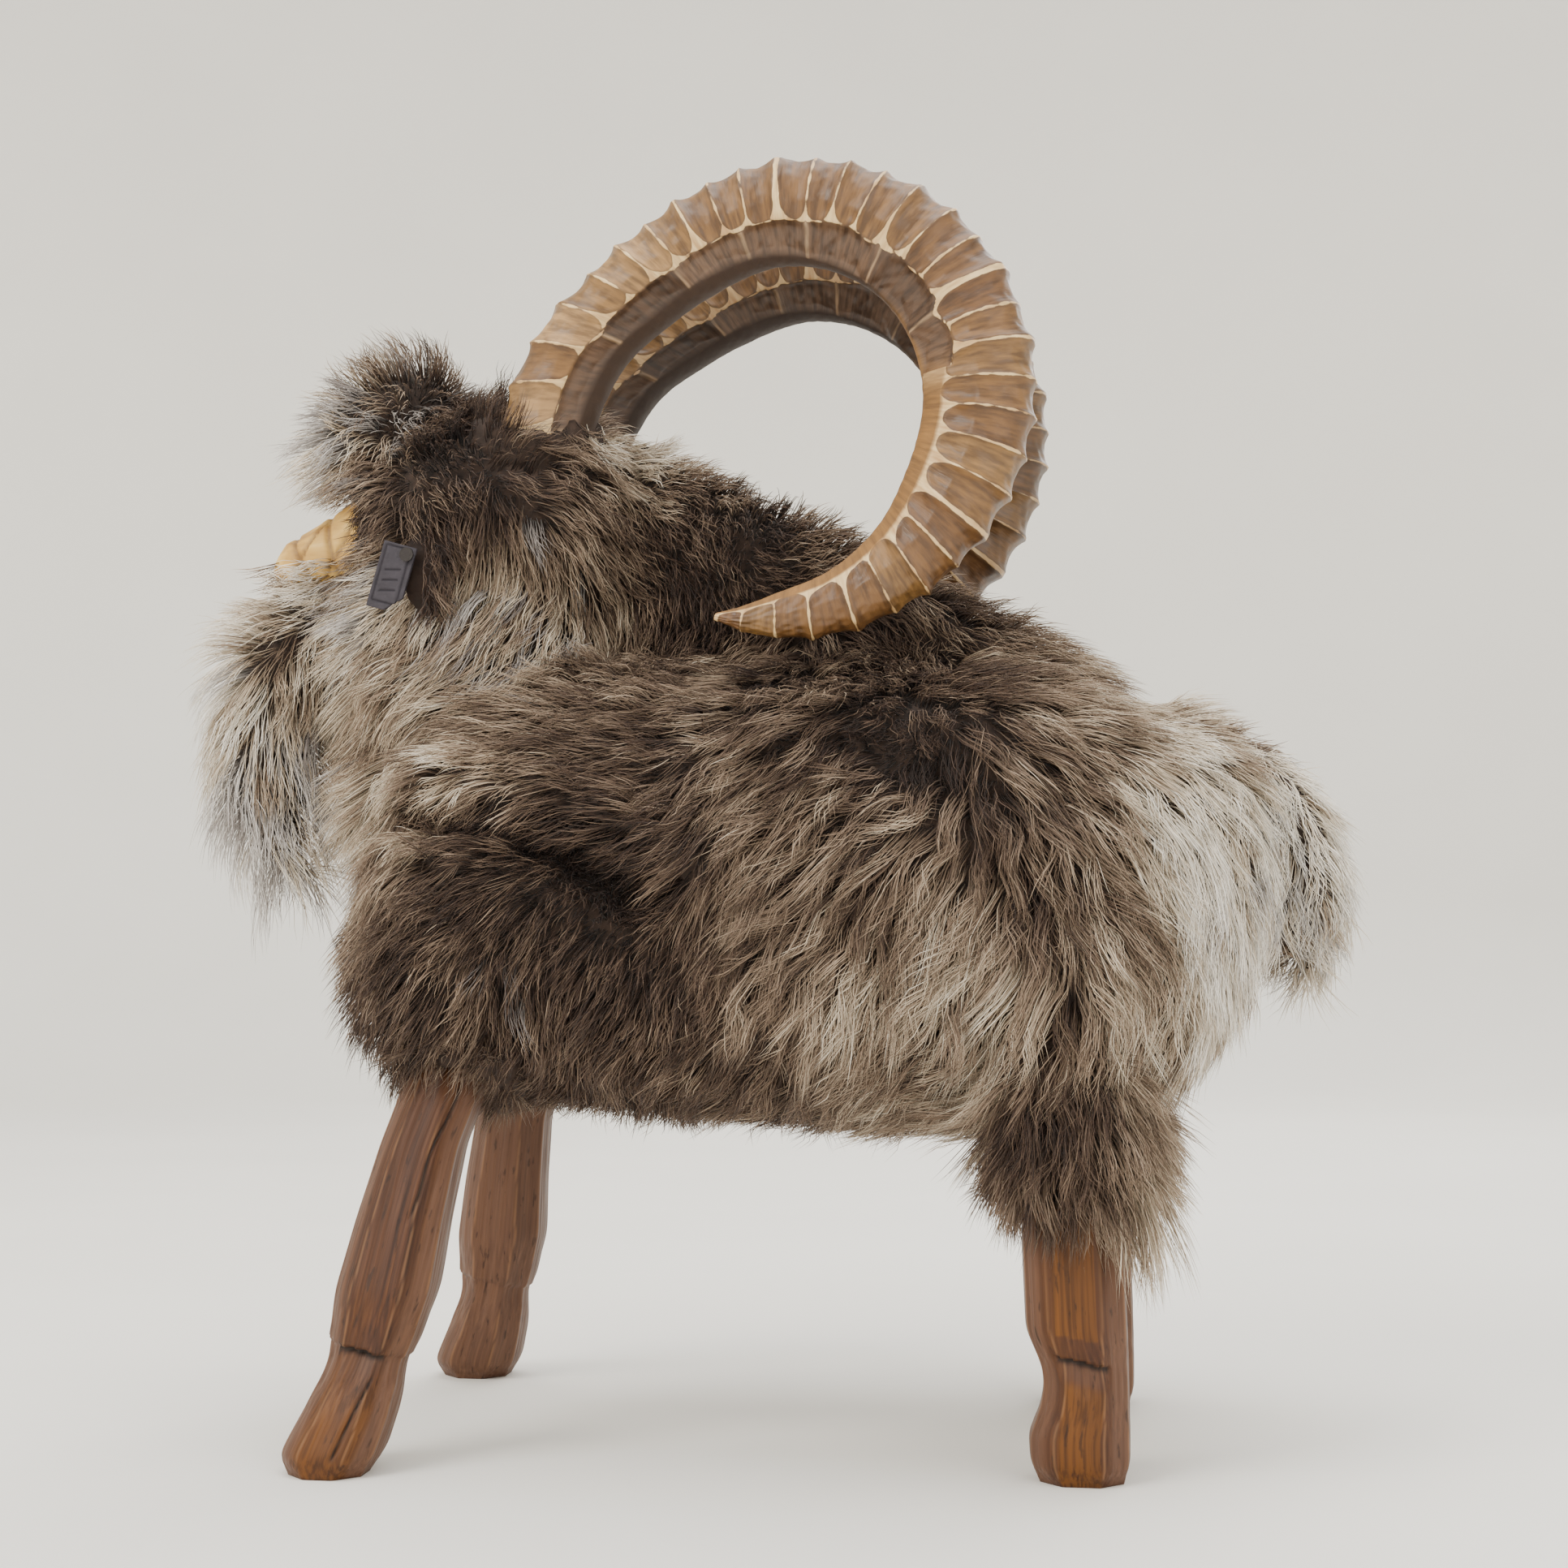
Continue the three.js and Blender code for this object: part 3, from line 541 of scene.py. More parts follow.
def wool_material():
    """Reads only the hair's UV: shade across, root to tip upwards. Past 0.8 across it is grey wool."""
    nodes = Nodes("wool", 0.62)
    uv = nodes.add("UVMap")
    uv.uv_map = BAKE_LAYER
    split = nodes.add("SeparateXYZ", Vector=uv.outputs[0])
    shade, along = split.outputs[0], split.outputs[1]
    tips = nodes.ramp(shade, (0.0, "23160f"), (0.10, "3f2d23"), (0.20, "5e4a3c"), (0.30, "826d5a"),
                      (0.42, "ae9881"), (0.54, "d9c8af"), (0.66, "f3e8d6"), (0.78, "fffaf0"),
                      (0.81, "403836"), (0.90, "9b918b"), (1.0, "f2ede6"))
    roots = nodes.ramp(shade, (0.0, "140c08"), (0.25, "382820"), (0.45, "735e4c"), (0.6, "ab967c"),
                       (0.78, "e4d7c2"), (0.81, "241f1e"), (1.0, "ada59e"))
    nodes.surface("Sheen Weight", 0.06)
    nodes.surface("Sheen Roughness", 0.4)
    nodes.surface("Specular IOR Level", 0.3)
    return nodes.colour(nodes.mix(nodes.ramp(along, (0.05, 0.0), (0.75, 1.0)), roots, tips))


def hide_material():
    nodes = Nodes("hide", 0.9)
    grain = nodes.noise(object_place(nodes), 160)
    nodes.bump(grain, 0.6, 2)
    return nodes.colour(nodes.ramp(grain, (0.3, "1d140f"), (0.7, "3b2b21")))


def horn_material(name, greyed):
    """Stained hollows, pale ridges with painted shadow beside them, a painted highlight on the edges
    between scoops, and a smooth inner face. greyed is how far the colour is painted darker and greyer, as
    painted shade.
    """
    nodes = Nodes(name, 0.5)
    place = nodes.attribute("grain", vector=True)
    streaks = nodes.noise(place, 55, 6, (1, 1, 5))
    blotches = nodes.noise(place, 40, 3)
    chatter = nodes.noise(place, 300, 2, (0.5, 0.5, 3))
    tone = nodes.attribute("tone")
    facet = nodes.ramp(tone, (0.0, "6a4826"), (0.35, "79552c"), (0.7, "8d693a"), (1.0, "b08a5a"))
    scoop = nodes.ramp(tone, (0.0, "3c2a1c"), (0.5, "5d4532"), (1.0, "80644c"))
    # pale on the edges between scoops: a painted highlight
    scoop = nodes.mix(nodes.ramp(nodes.attribute("arris_highlight"), (0.02, 0.8), (0.12, 0.0)), scoop, "b89a76")
    cuts = nodes.mix(nodes.attribute("scoop"), facet, scoop)
    dark = nodes.mix(nodes.ramp(streaks, (0.38, 0.0), (0.62, 1.0)), "4f3821", "ffffff")
    cuts = nodes.mix(0.6, cuts, dark, "MULTIPLY")
    cuts = nodes.mix(nodes.ramp(blotches, (0.5, 0.0), (0.75, 0.35)), cuts, "5c4028")
    bare = nodes.mix(nodes.attribute("pale"), "382618", "946a37")
    bare = nodes.mix(nodes.ramp(streaks, (0.3, 0.55), (0.7, 0.0)), bare, "32231a")
    worn = nodes.maths("MULTIPLY_ADD", nodes.noise(place, 110, 3), -0.44, 0.22)
    ridge = nodes.maths("ADD", nodes.attribute("ridge"), worn)  # wider in some places and gone in others
    pale = nodes.ramp(streaks, (0.3, "b98f5c"), (0.7, "e6c893"))
    # a darker band beside each pale ridge: painted shadow
    cuts = nodes.mix(nodes.ramp(ridge, (0.12, 0.35), (0.26, 0.0)), cuts, "46301c")
    carved = nodes.mix(nodes.ramp(ridge, (0.05, 0.0), (0.11, 1.0)), pale, cuts)
    colour = nodes.mix(nodes.attribute("smooth_face"), carved, bare)
    # greyed darkens and greys the whole horn: painted shade
    colour = nodes.mix(greyed, colour, nodes.mix(0.7, colour, "8d8581", "MULTIPLY"))
    polish = nodes.ramp(streaks, (0.3, 0.36), (0.7, 0.54))
    polish = nodes.mix(nodes.attribute("smooth_face"), polish, "e4e4e4")
    nodes.surface("Roughness", polish)
    nodes.bump(nodes.mix(0.5, chatter, streaks), 0.5, 0.8)
    return nodes.colour(colour)


def leg_material():
    """Dark stained wood, golden in places and nearly black in cracks. A pinkish sheen is painted on all but
    the outer face and in the notch, a pale highlight along the corners, and shade in the slot under the
    notch's lip.
    """
    nodes = Nodes("stained_pine", 0.5)
    place = nodes.attribute("grain", vector=True)
    stripes = nodes.noise(place, 520, 4, (1, 1, 0.02))
    broad = nodes.noise(place, 90, 4, (1, 1, 0.06))
    patches = nodes.noise(place, 26, 3, (1, 1, 0.5))
    specks = nodes.noise(place, 330, 3, (1, 1, 0.25))
    wood = nodes.ramp(stripes, (0.3, "2a160b"), (0.48, "3c200e"), (0.6, "4a2a13"), (0.76, "5c381a"))
    wood = nodes.mix(nodes.ramp(broad, (0.42, 0.0), (0.66, 0.55)), wood, "55300b")
    wood = nodes.mix(nodes.ramp(patches, (0.45, 0.0), (0.75, 0.4)), wood, "4e2e1e")
    # a pinkish sheen on all but the outer face and in the notch: painted sheen
    wood = nodes.mix(nodes.attribute("mauve_sheen"), wood, nodes.mix(stripes, "543829", "7c5c48"))
    honey = nodes.mix(broad, "3c2006", "7f4c10")
    honey = nodes.mix(nodes.ramp(stripes, (0.4, 0.55), (0.56, 0.0)), honey, "2a1506")
    wood = nodes.mix(nodes.attribute("golden"), wood, honey)
    wood = nodes.mix(nodes.ramp(specks, (0.62, 0.0), (0.70, 0.6)), wood, "190c05")
    # pale on the corners: a painted highlight
    wood = nodes.mix(nodes.attribute("edge"), wood, "b08258")
    # nearly black in the cracks, and in the slot under the notch's lip as painted shade
    wood = nodes.mix(nodes.attribute("crack"), wood, "120a05")
    nodes.surface("Roughness", nodes.ramp(stripes, (0.3, 0.6), (0.7, 0.42)))
    nodes.surface("Specular IOR Level", 0.3)
    nodes.bump(stripes, 0.45, 0.7)
    return nodes.colour(wood)


def nose_material():
    """Pale yellow wood, brown where it is carved."""
    nodes = Nodes("pale_wood", 0.55)
    place = object_place(nodes)
    grain = nodes.noise(place, 90, 5, (1, 0.12, 1))
    patches = nodes.noise(place, 38, 3)
    wood = nodes.ramp(grain, (0.3, "a5762f"), (0.55, "d8ac58"), (0.75, "f0ce80"))
    wood = nodes.mix(nodes.ramp(patches, (0.5, 0.0), (0.72, 0.55)), wood, "8f5c26")
    wood = nodes.mix(nodes.attribute("carved"), wood, "55351a")
    nodes.bump(grain, 0.4, 0.6)
    return nodes.colour(wood)


def leather_material(name, dark, light, scale=420):
    """Grained leather, dark where it is tooled. scale is how fine the grain is."""
    nodes = Nodes(name, 0.5)
    nodes.surface("Specular IOR Level", 0.2)
    place = object_place(nodes)
    cells = nodes.add("TexVoronoi", Vector=place, Scale=scale).outputs["Distance"]
    cloud = nodes.noise(place, 120, 4)
    colour = nodes.mix(cloud, dark, light)
    colour = nodes.mix(nodes.attribute("tooled"), colour, "17131a")
    nodes.surface("Roughness", nodes.ramp(cloud, (0.3, 0.6), (0.7, 0.8)))
    nodes.bump(cells, 0.35, 0.5)
    return nodes.colour(colour)


def plain_material(name, light, dark, scale, roughness, metallic=0.0, stretch=(1, 1, 1)):
    nodes = Nodes(name, roughness)
    grain = nodes.noise(object_place(nodes), scale, 4, stretch)
    nodes.surface("Metallic", metallic)
    nodes.bump(grain, 0.3, 0.5)
    return nodes.colour(nodes.mix(grain, dark, light))


WOOL = wool_material()
HIDE = hide_material()


def dressed(piece, material, slot, *replaced):
    """Gives a piece its material, and hides the CAD nodes that it stands in for. slot is not used."""
    piece.data.materials.clear()
    piece.data.materials.append(material)
    if replaced:
        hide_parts(*replaced)


# ---------------------------------------------------------------------------
# The hide
# ---------------------------------------------------------------------------


def neighbours_mean(points, edges):
    """The mean of the values at the far ends of each point's edges."""
    total = np.zeros_like(points)
    count = np.zeros(len(points))
    for a, b in ((0, 1), (1, 0)):
        np.add.at(total, edges[:, a], points[edges[:, b]])
        np.add.at(count, edges[:, a], 1)
    return total / count[:, None]


def largest_body(piece):
    """Removes the small closed shells that remeshing leaves inside."""
    build = bmesh.new()
    build.from_mesh(piece.data)
    unseen = set(build.verts)
    bodies = []
    while unseen:
        body = {unseen.pop()}
        border = list(body)
        while border:
            vertex = border.pop()
            for edge in vertex.link_edges:
                other = edge.other_vert(vertex)
                if other in unseen:
                    unseen.discard(other)
                    body.add(other)
                    border.append(other)
        bodies.append(body)
    keep = max(bodies, key=len)
    rest = [vertex for body in bodies if body is not keep for vertex in body]
    bmesh.ops.delete(build, geom=rest, context="VERTS")
    build.to_mesh(piece.data)
    build.free()


def node_tree(name):
    build = bmesh.new()
    build.from_mesh(NODES[name].data)
    tree = BVHTree.FromBMesh(build)
    build.free()
    return tree


WOOL_TREES = {name: node_tree(name) for name in WOOL_NODES}


def nearest_node(point):
    """The wool node whose surface is nearest to a point."""
    return min(WOOL_NODES, key=lambda name: WOOL_TREES[name].find_nearest(point)[3])


def folds_at(points):
    """How far the folds press the hide in, how far it swells out in a roll above them, and how much room
    hair has before it would hang into a fold, in metres."""
    places = points[:, 1:] / MM
    depth, swell = np.zeros((2, len(points)))
    room = np.full(len(points), math.inf)
    for start, end, deep, wide in FOLDS:
        start, end = np.array(start, float), np.array(end, float)
        along = ((places - start) @ (end - start)) / ((end - start) @ (end - start))
        offset = places - (start + np.clip(along, 0, 1)[:, None] * (end - start))
        away = lengths(offset)[:, 0]
        above = offset[:, 1] > 0
        depth = np.maximum(depth, deep * np.exp(-((away / wide) ** 2)))
        roll = np.exp(-(((away - ROLL_RISE * wide) / (ROLL_WIDTH * wide)) ** 2)) * above
        swell = np.maximum(swell, ROLL_SHARE * deep * roll)
        beside = above & (along > 0) & (along < 1)
        room = np.where(beside, np.minimum(room, ROOM_IN_FOLD + ROOM_RISE * away), room)
    on_side = smoothstep(*ON_SIDE, np.abs(points[:, 0]) / MM) * MM
    return depth * on_side, swell * on_side, room * MM


def make_hide():
    """The padded body that the wool grows from: the fleece's own shape, drawn in by the wool's depth."""
    piece = copied("hide", WOOL_NODES + FILLING_NODES, HIDE_VOXEL, 2)
    largest_body(piece)
    mesh = piece.data
    points = coordinates(mesh)
    edges = np.array([e.vertices[:] for e in mesh.edges])
    tree = BVHTree.FromPolygons(points.tolist(), [p.vertices[:] for p in mesh.polygons])
    frame_trees = [node_tree(name) for name in FRAME_NODES]
    depth = np.empty(len(points))
    for i, (point, normal) in enumerate(zip(points, normals_of(mesh))):
        inward = Vector(-normal)
        hit = tree.ray_cast(Vector(point) + inward * MM, inward)
        thickness = hit[3] if hit[3] is not None else 1
        depth[i] = min(WOOL_DEPTH[nearest_node(Vector(point))] * MM, DEEPEST_SHARE * thickness)
        for timber in frame_trees:
            to_timber = timber.ray_cast(Vector(point), inward)[3]
            if to_timber is not None:
                depth[i] = min(depth[i], to_timber - FRAME_COVER * MM)
    depth = depth[:, None]
    for _ in range(DEPTH_ROUNDS):
        depth = 0.5 * depth + 0.5 * neighbours_mean(depth, edges)
    pressed, swollen, _ = folds_at(points)
    depth += (pressed - swollen)[:, None]
    for _ in range(HIDE_STEPS):
        points = coordinates(mesh) - normals_of(mesh) * depth / HIDE_STEPS
        points = (1 - HIDE_SMOOTHING) * points + HIDE_SMOOTHING * neighbours_mean(points, edges)
        set_coordinates(mesh, points)
    return piece


def padded_out(piece):
    """Blows the hide up against its own tension, as stuffing does."""
    start = coordinates(piece.data)
    cloth = piece.modifiers.new("stuffing", "CLOTH")
    cloth.settings.use_pressure = True
    cloth.settings.uniform_pressure_force = STUFFING_PRESSURE
    cloth.settings.effector_weights.gravity = 0
    scene = bpy.context.scene
    for step in range(STUFFING_FRAMES):
        scene.frame_set(1 + step)
    apply_modifiers(piece)
    scene.frame_set(1)
    moved = coordinates(piece.data) - start
    share = np.minimum(1, STUFFING_REACH * MM / np.maximum(lengths(moved), 1e-9))
    set_coordinates(piece.data, start + moved * share)


# ---------------------------------------------------------------------------
# Wool
# ---------------------------------------------------------------------------


def scattered(mesh, count, rng):
    """Even random places on a mesh, and the smooth normals there."""
    mesh.calc_loop_triangles()
    corners = np.empty(len(mesh.loop_triangles) * 3, np.int32)
    mesh.loop_triangles.foreach_get("vertices", corners)
    corners = corners.reshape(-1, 3)
    points, normals = coordinates(mesh), normals_of(mesh)
    a, b, c = (points[corners[:, i]] for i in range(3))
    areas = lengths(np.cross(b - a, c - a))[:, 0]
    chosen = rng.choice(len(corners), count, p=areas / areas.sum())
    u, v = rng.random((2, count))
    over = u + v > 1
    u[over], v[over] = 1 - u[over], 1 - v[over]
    weights = np.stack([1 - u - v, u, v], -1)[:, :, None]
    picked = corners[chosen]
    return (points[picked] * weights).sum(1), unit((normals[picked] * weights).sum(1))


def combed(points):
    """The comb table's values at each point: the way the hair lies, length, shade and curl."""
    rows = np.array(COMB, float)
    away = ((points[:, None, 1:] / MM - rows[None, :, :2]) ** 2).sum(-1)
    weights = np.exp(-(away - away.min(1, keepdims=True)) / (2 * COMB_REACH ** 2))
    weights /= weights.sum(1, keepdims=True)
    return weights @ rows[:, 2:]


def greyness(points):
    """How likely the wool is to be grey at each point, from 0 to 1."""
    grey = np.zeros(len(points))
    for y, z, radius, strength in GREY:
        away = ((points[:, 1] / MM - y) ** 2 + (points[:, 2] / MM - z) ** 2) / radius ** 2
        grey = np.maximum(grey, strength * np.exp(-away))
    return grey


def clear_of_solids(paths):
    """False for each hair that would lie across the tag or the bare nose, or in a horn."""
    x, y, z = np.abs(paths[..., 0]) / MM, paths[..., 1] / MM, paths[..., 2] / MM
    tag_low, tag_high = (np.array(corner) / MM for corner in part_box("ear_tag"))
    by_tag = (x > tag_low[0] - 7) & (y > tag_low[1] - 2) & (y < tag_high[1] + 2)
    by_tag &= (z > tag_low[2] - 2) & (z < tag_high[2] - 3)
    nose = (y < NOSE_START) & (z > NOSE_BARE[0]) & (z < NOSE_BARE[1]) & (x < NOSE_HALF_WIDTH)
    angle = np.degrees(np.arctan2(z - HORN_CENTRE[1], y - HORN_CENTRE[0])) % 360
    angle = np.where(angle > 230, angle - 360, angle)
    radius = np.hypot(y - HORN_CENTRE[0], z - HORN_CENTRE[1])
    outer, thick, wide, side = (np.interp(angle, HORN_ROWS[:, 0], HORN_ROWS[:, i]) for i in range(1, 5))
    inside = ((radius - outer + thick) / thick) ** 2 + ((x - side) / wide) ** 2
    in_horn = (angle > HORN_ROWS[0, 0]) & (angle < 60) & (inside < 1)
    at_root = (angle > 150) & (angle < HORN_ROWS[-1, 0]) & (inside < 0.5)
    first_knot = np.arange(paths.shape[1]) == 0  # hair that starts beside the root may lie over it
    in_horn |= at_root & first_knot
    return ~(by_tag | nose | in_horn).any(1)


def in_box(paths, spare=0.017):
    """False for each hair that reaches further than spare metres out of the CAD's box."""
    return ((paths > np.array(cad_low) - spare) & (paths < np.array(cad_high) + spare)).all((1, 2))


def hair_paths(roots, normals, rng, locks, knots):
    """The hairs' paths [hair, knot, xyz], and the lock that each belongs to."""
    tree = kdtree.KDTree(len(locks["root"]))
    for i, place in enumerate(locks["root"]):
        tree.insert(place, i)
    tree.balance()
    own = np.array([tree.find(root)[1] for root in roots])
    s = np.linspace(0, 1, knots)[None, :, None]
    pick = {key: value[own] for key, value in locks.items()}
    curl = pick["curl"][:, None, None]
    length = (pick["length"] * rng.uniform(0.72, 1.12, len(roots)))[:, None, None] * MM
    lift = pick["lift"][:, None, None] * MM
    flow = pick["flow"][:, None]
    normal = unit(0.5 * normals + 0.5 * pick["normal"])[:, None]
    path = roots[:, None] + normal * lift * (1 - (1 - s) ** 2.2) + flow * length * s ** 1.15
    gather = (0.22 + 0.6 * curl) * s ** 1.4  # how far a hair has joined the middle of its lock
    path -= (roots - pick["root"])[:, None] * gather
    across = np.cross(pick["flow"], pick["normal"])[:, None]
    wave = np.sin(2 * math.pi * (pick["turns"][:, None, None] * s + pick["phase"][:, None, None]))
    path += across * wave * s * (1.2 + 5.5 * curl) * MM
    path += normal * np.cos(2 * math.pi * pick["turns"][:, None, None] * s) * s * 2.6 * curl * MM
    stray = rng.normal(size=(len(roots), 1, 3)) * s ** 1.3 * (3.4 - 0.8 * curl) * MM
    return path + stray, own


def make_locks(mesh, count, rng):
    """Locks scattered on a mesh, each with its way of lying and its looks."""
    root, normal = scattered(mesh, count, rng)
    values = combed(root)
    sideways = np.sign(root[:, :1]) * SIDEWAYS * np.maximum(normal[:, 2:], 0)
    flow = np.concatenate([sideways, values[:, :2]], 1)
    flow += 0.30 * np.stack([noise(root, 34, seed) for seed in (11, 12, 13)], -1)
    flow += 0.13 * rng.normal(size=(count, 3))
    outward = (flow * normal).sum(1, keepdims=True)
    kept = 0.5 * np.maximum(outward, 0) * (root[:, 1:2] < -0.2)  # the beard and chest reach forwards
    flow = flow - normal * (outward - kept)
    flow /= np.maximum(lengths(flow), 0.6)  # where ways of lying part, the hair stands up
    varied = 0.11 * noise(root, 26, 21) + 0.12 * rng.normal(size=count)
    pressed, _, room = folds_at(root)
    folded = pressed / (FOLDS[1][2] * MM)  # 1 in the deepest fold
    # hair in a fold is painted darker by its depth: painted shade of the crease
    shade = values[:, 3] + varied * (0.35 + 0.8 * values[:, 3]) - 0.5 * folded
    plush = smoothstep(0.35, 0.0, values[:, 4])
    length = np.minimum(values[:, 2] * (1 - 0.3 * plush) * (1 - 0.7 * folded), room / MM)
    lift = values[:, 2] * (0.40 - 0.16 * values[:, 4] + 0.22 * plush)  # plush stands up
    flat = smoothstep(0.22, 0.28, root[:, 1]) * smoothstep(0.315, 0.295, root[:, 1])  # over the rump
    lift *= (1 - 0.5 * folded) * (1 - 0.5 * flat)
    by_nose = (root[:, 1] < -0.21) & (np.abs(root[:, 2] - 0.519) < 0.022)  # short, so the nose is bare
    length = np.where(by_nose, 0.6 * length, length)
    lift = np.where(by_nose, 0.4 * lift, lift)
    return {
        "root": root,
        "normal": normal,
        "flow": flow,
        "length": length * rng.uniform(0.8, 1.2, count),
        "lift": (lift + 2.5 * noise(root, 22, 31) + 2 * rng.normal(size=count)).clip(4, HIGHEST_LIFT),
        "curl": values[:, 4],
        "turns": rng.uniform(0.6, 1.3, count),
        "phase": rng.random(count),
        "shade": shade,
        "grey": greyness(root) > rng.random(count),
    }


def hair_mesh(name, paths, width, shade):
    """Each hair as a closed three-sided tube that narrows to its tip."""
    count, knots, _ = paths.shape
    tangent = unit(np.gradient(paths, axis=1))
    reference = np.random.default_rng(count).normal(size=(count, 1, 3))
    side = unit(np.cross(tangent, reference))
    rise = np.cross(tangent, side)
    s = np.linspace(0, 1, knots)
    radius = width[:, None] * (1 - 0.72 * s[:-1] ** 1.6)[None]
    turn = np.arange(3) * 2 * math.pi / 3
    spoke = side[:, :-1, None] * np.cos(turn)[:, None] + rise[:, :-1, None] * np.sin(turn)[:, None]
    rings = paths[:, :-1, None] + spoke * radius[:, :, None, None]
    points = np.concatenate([rings.reshape(count, -1, 3), paths[:, -1:]], 1)
    last = 3 * (knots - 2)
    tip = 3 * (knots - 1)
    faces = [(0, 2, 1)]
    for ring in range(0, last, 3):
        for a, b in ((0, 1), (1, 2), (2, 0)):
            faces += [(ring + a, ring + b, ring + 3 + b), (ring + a, ring + 3 + b, ring + 3 + a)]
    faces += [(last + a, last + b, tip) for a, b in ((0, 1), (1, 2), (2, 0))]
    each = points.shape[1]
    faces = (np.array(faces)[None] + each * np.arange(count)[:, None, None]).reshape(-1, 3)
    corner = np.append(np.tile([0, 1, 2], knots - 1), 1) * 0.006
    along = np.append(np.repeat(s[:-1], 3), 1.0)
    uv = np.stack([shade[:, None] + corner[None], np.broadcast_to(along, (count, each))], -1)
    return mesh_of(name, points.reshape(-1, 3), faces, uv.reshape(-1, 2))


def shade_place(shade, grey):
    """Where a hair's shade is in the wool material: 0 to 0.77 brown, 0.82 to 0.98 grey."""
    return np.where(grey, 0.82 + 0.16 * shade.clip(0, 1), 0.77 * shade.clip(0, 1))


def grow(mesh, hairs, lock_count, seed):
    """Paths and shades of the wool on a mesh, and the CAD node that each hair stands in."""
    rng = np.random.default_rng(seed)
    locks = make_locks(mesh, lock_count, rng)
    homes = np.array([nearest_node(Vector(place)) for place in locks["root"]])
    roots, normals = scattered(mesh, hairs, rng)
    paths, own = hair_paths(roots, normals, rng, locks, HAIR_KNOTS)
    keep = clear_of_solids(paths) & in_box(paths)
    shade = locks["shade"][own] + 0.09 * rng.normal(size=hairs)
    shade = shade_place(shade, locks["grey"][own])
    width = HAIR_RADIUS * MM * rng.uniform(0.75, 1.25, hairs)
    return paths[keep], shade[keep], width[keep], homes[own][keep]


def wool_pieces(prefix, node, paths, shade, width, slot):
    """The hairs of one CAD node, as pieces from head to tail that are each small enough to export whole."""
    order = np.argsort(paths[:, 0, 1])
    parts = np.array_split(order, math.ceil(len(order) / HAIRS_PER_PIECE))
    for number, part in enumerate(parts, 1):
        name = prefix + "_wool" + (f"_{number}" if len(parts) > 1 else "")
        piece = new_object(name, hair_mesh(name, paths[part], width[part], shade[part]))
        dressed(piece, WOOL, slot, node)


SLOT_OF = {row["node"]: row["material_slot"] for row in frame["record"]["subparts"]}
hide = make_hide()
padded_out(hide)
dressed(hide, HIDE, "brown_fleece")
paths, shade, width, homes = grow(hide.data, BODY_HAIRS, BODY_LOCKS, seed=5)
for node in WOOL_NODES:
    mine = homes == node
    wool_pieces(node.split("_")[0], node, paths[mine], shade[mine], width[mine], SLOT_OF[node])

# ---------------------------------------------------------------------------
# Legs and their wool cuffs
# ---------------------------------------------------------------------------


def leg_rings(node, heights, swell=0.0):
    """The CAD leg's surface as rings, one at each height, and each ring's middle."""
    points = coordinates(NODES[node].data)
    tree = node_tree(node)
    nearest = points[np.argsort(np.abs(points[:, 2] - heights[0]))[:12]]
    middle = (nearest.min(0) + nearest.max(0)) / 2
    rings, middles = [], []
    for height in heights:
        level = min(max(height, 0.0004), LEG_STRAIGHT * MM)
        for _ in range(2):  # centres the rays between opposite faces
            reach = {}
            for axis, sign in ((0, 1), (0, -1), (1, 1), (1, -1)):
                way = Vector((0, 0, 0))
                way[axis] = -sign
                start = Vector((middle[0], middle[1], level)) - way * 0.15
                spot = tree.ray_cast(start, way)[0]
                reach[axis, sign] = spot[axis] if spot else middle[axis] + sign * 0.02
            middle[0] = (reach[0, 1] + reach[0, -1]) / 2
            middle[1] = (reach[1, 1] + reach[1, -1]) / 2
        ring = []
        for i in range(LEG_AROUND):
            angle = 2 * math.pi * i / LEG_AROUND
            out = Vector((math.cos(angle), math.sin(angle), 0))
            hit = tree.ray_cast(Vector((middle[0], middle[1], level)) + out * 0.15, -out)
            spot = hit[0] + out * swell if hit[0] else Vector(middle) + out * 0.025
            ring.append((spot[0], spot[1], height))
        rings.append(ring)
        middles.append((middle[0], middle[1], height))
    return np.array(rings), np.array(middles)


def softened(values):
    """Values down a leg with the kinks between its CAD sections worn round, its two ends kept."""
    for _ in range(LEG_ROUNDS):
        values = values.copy()
        values[2:-1] = 0.25 * values[1:-2] + 0.5 * values[2:-1] + 0.25 * values[3:]
    return values


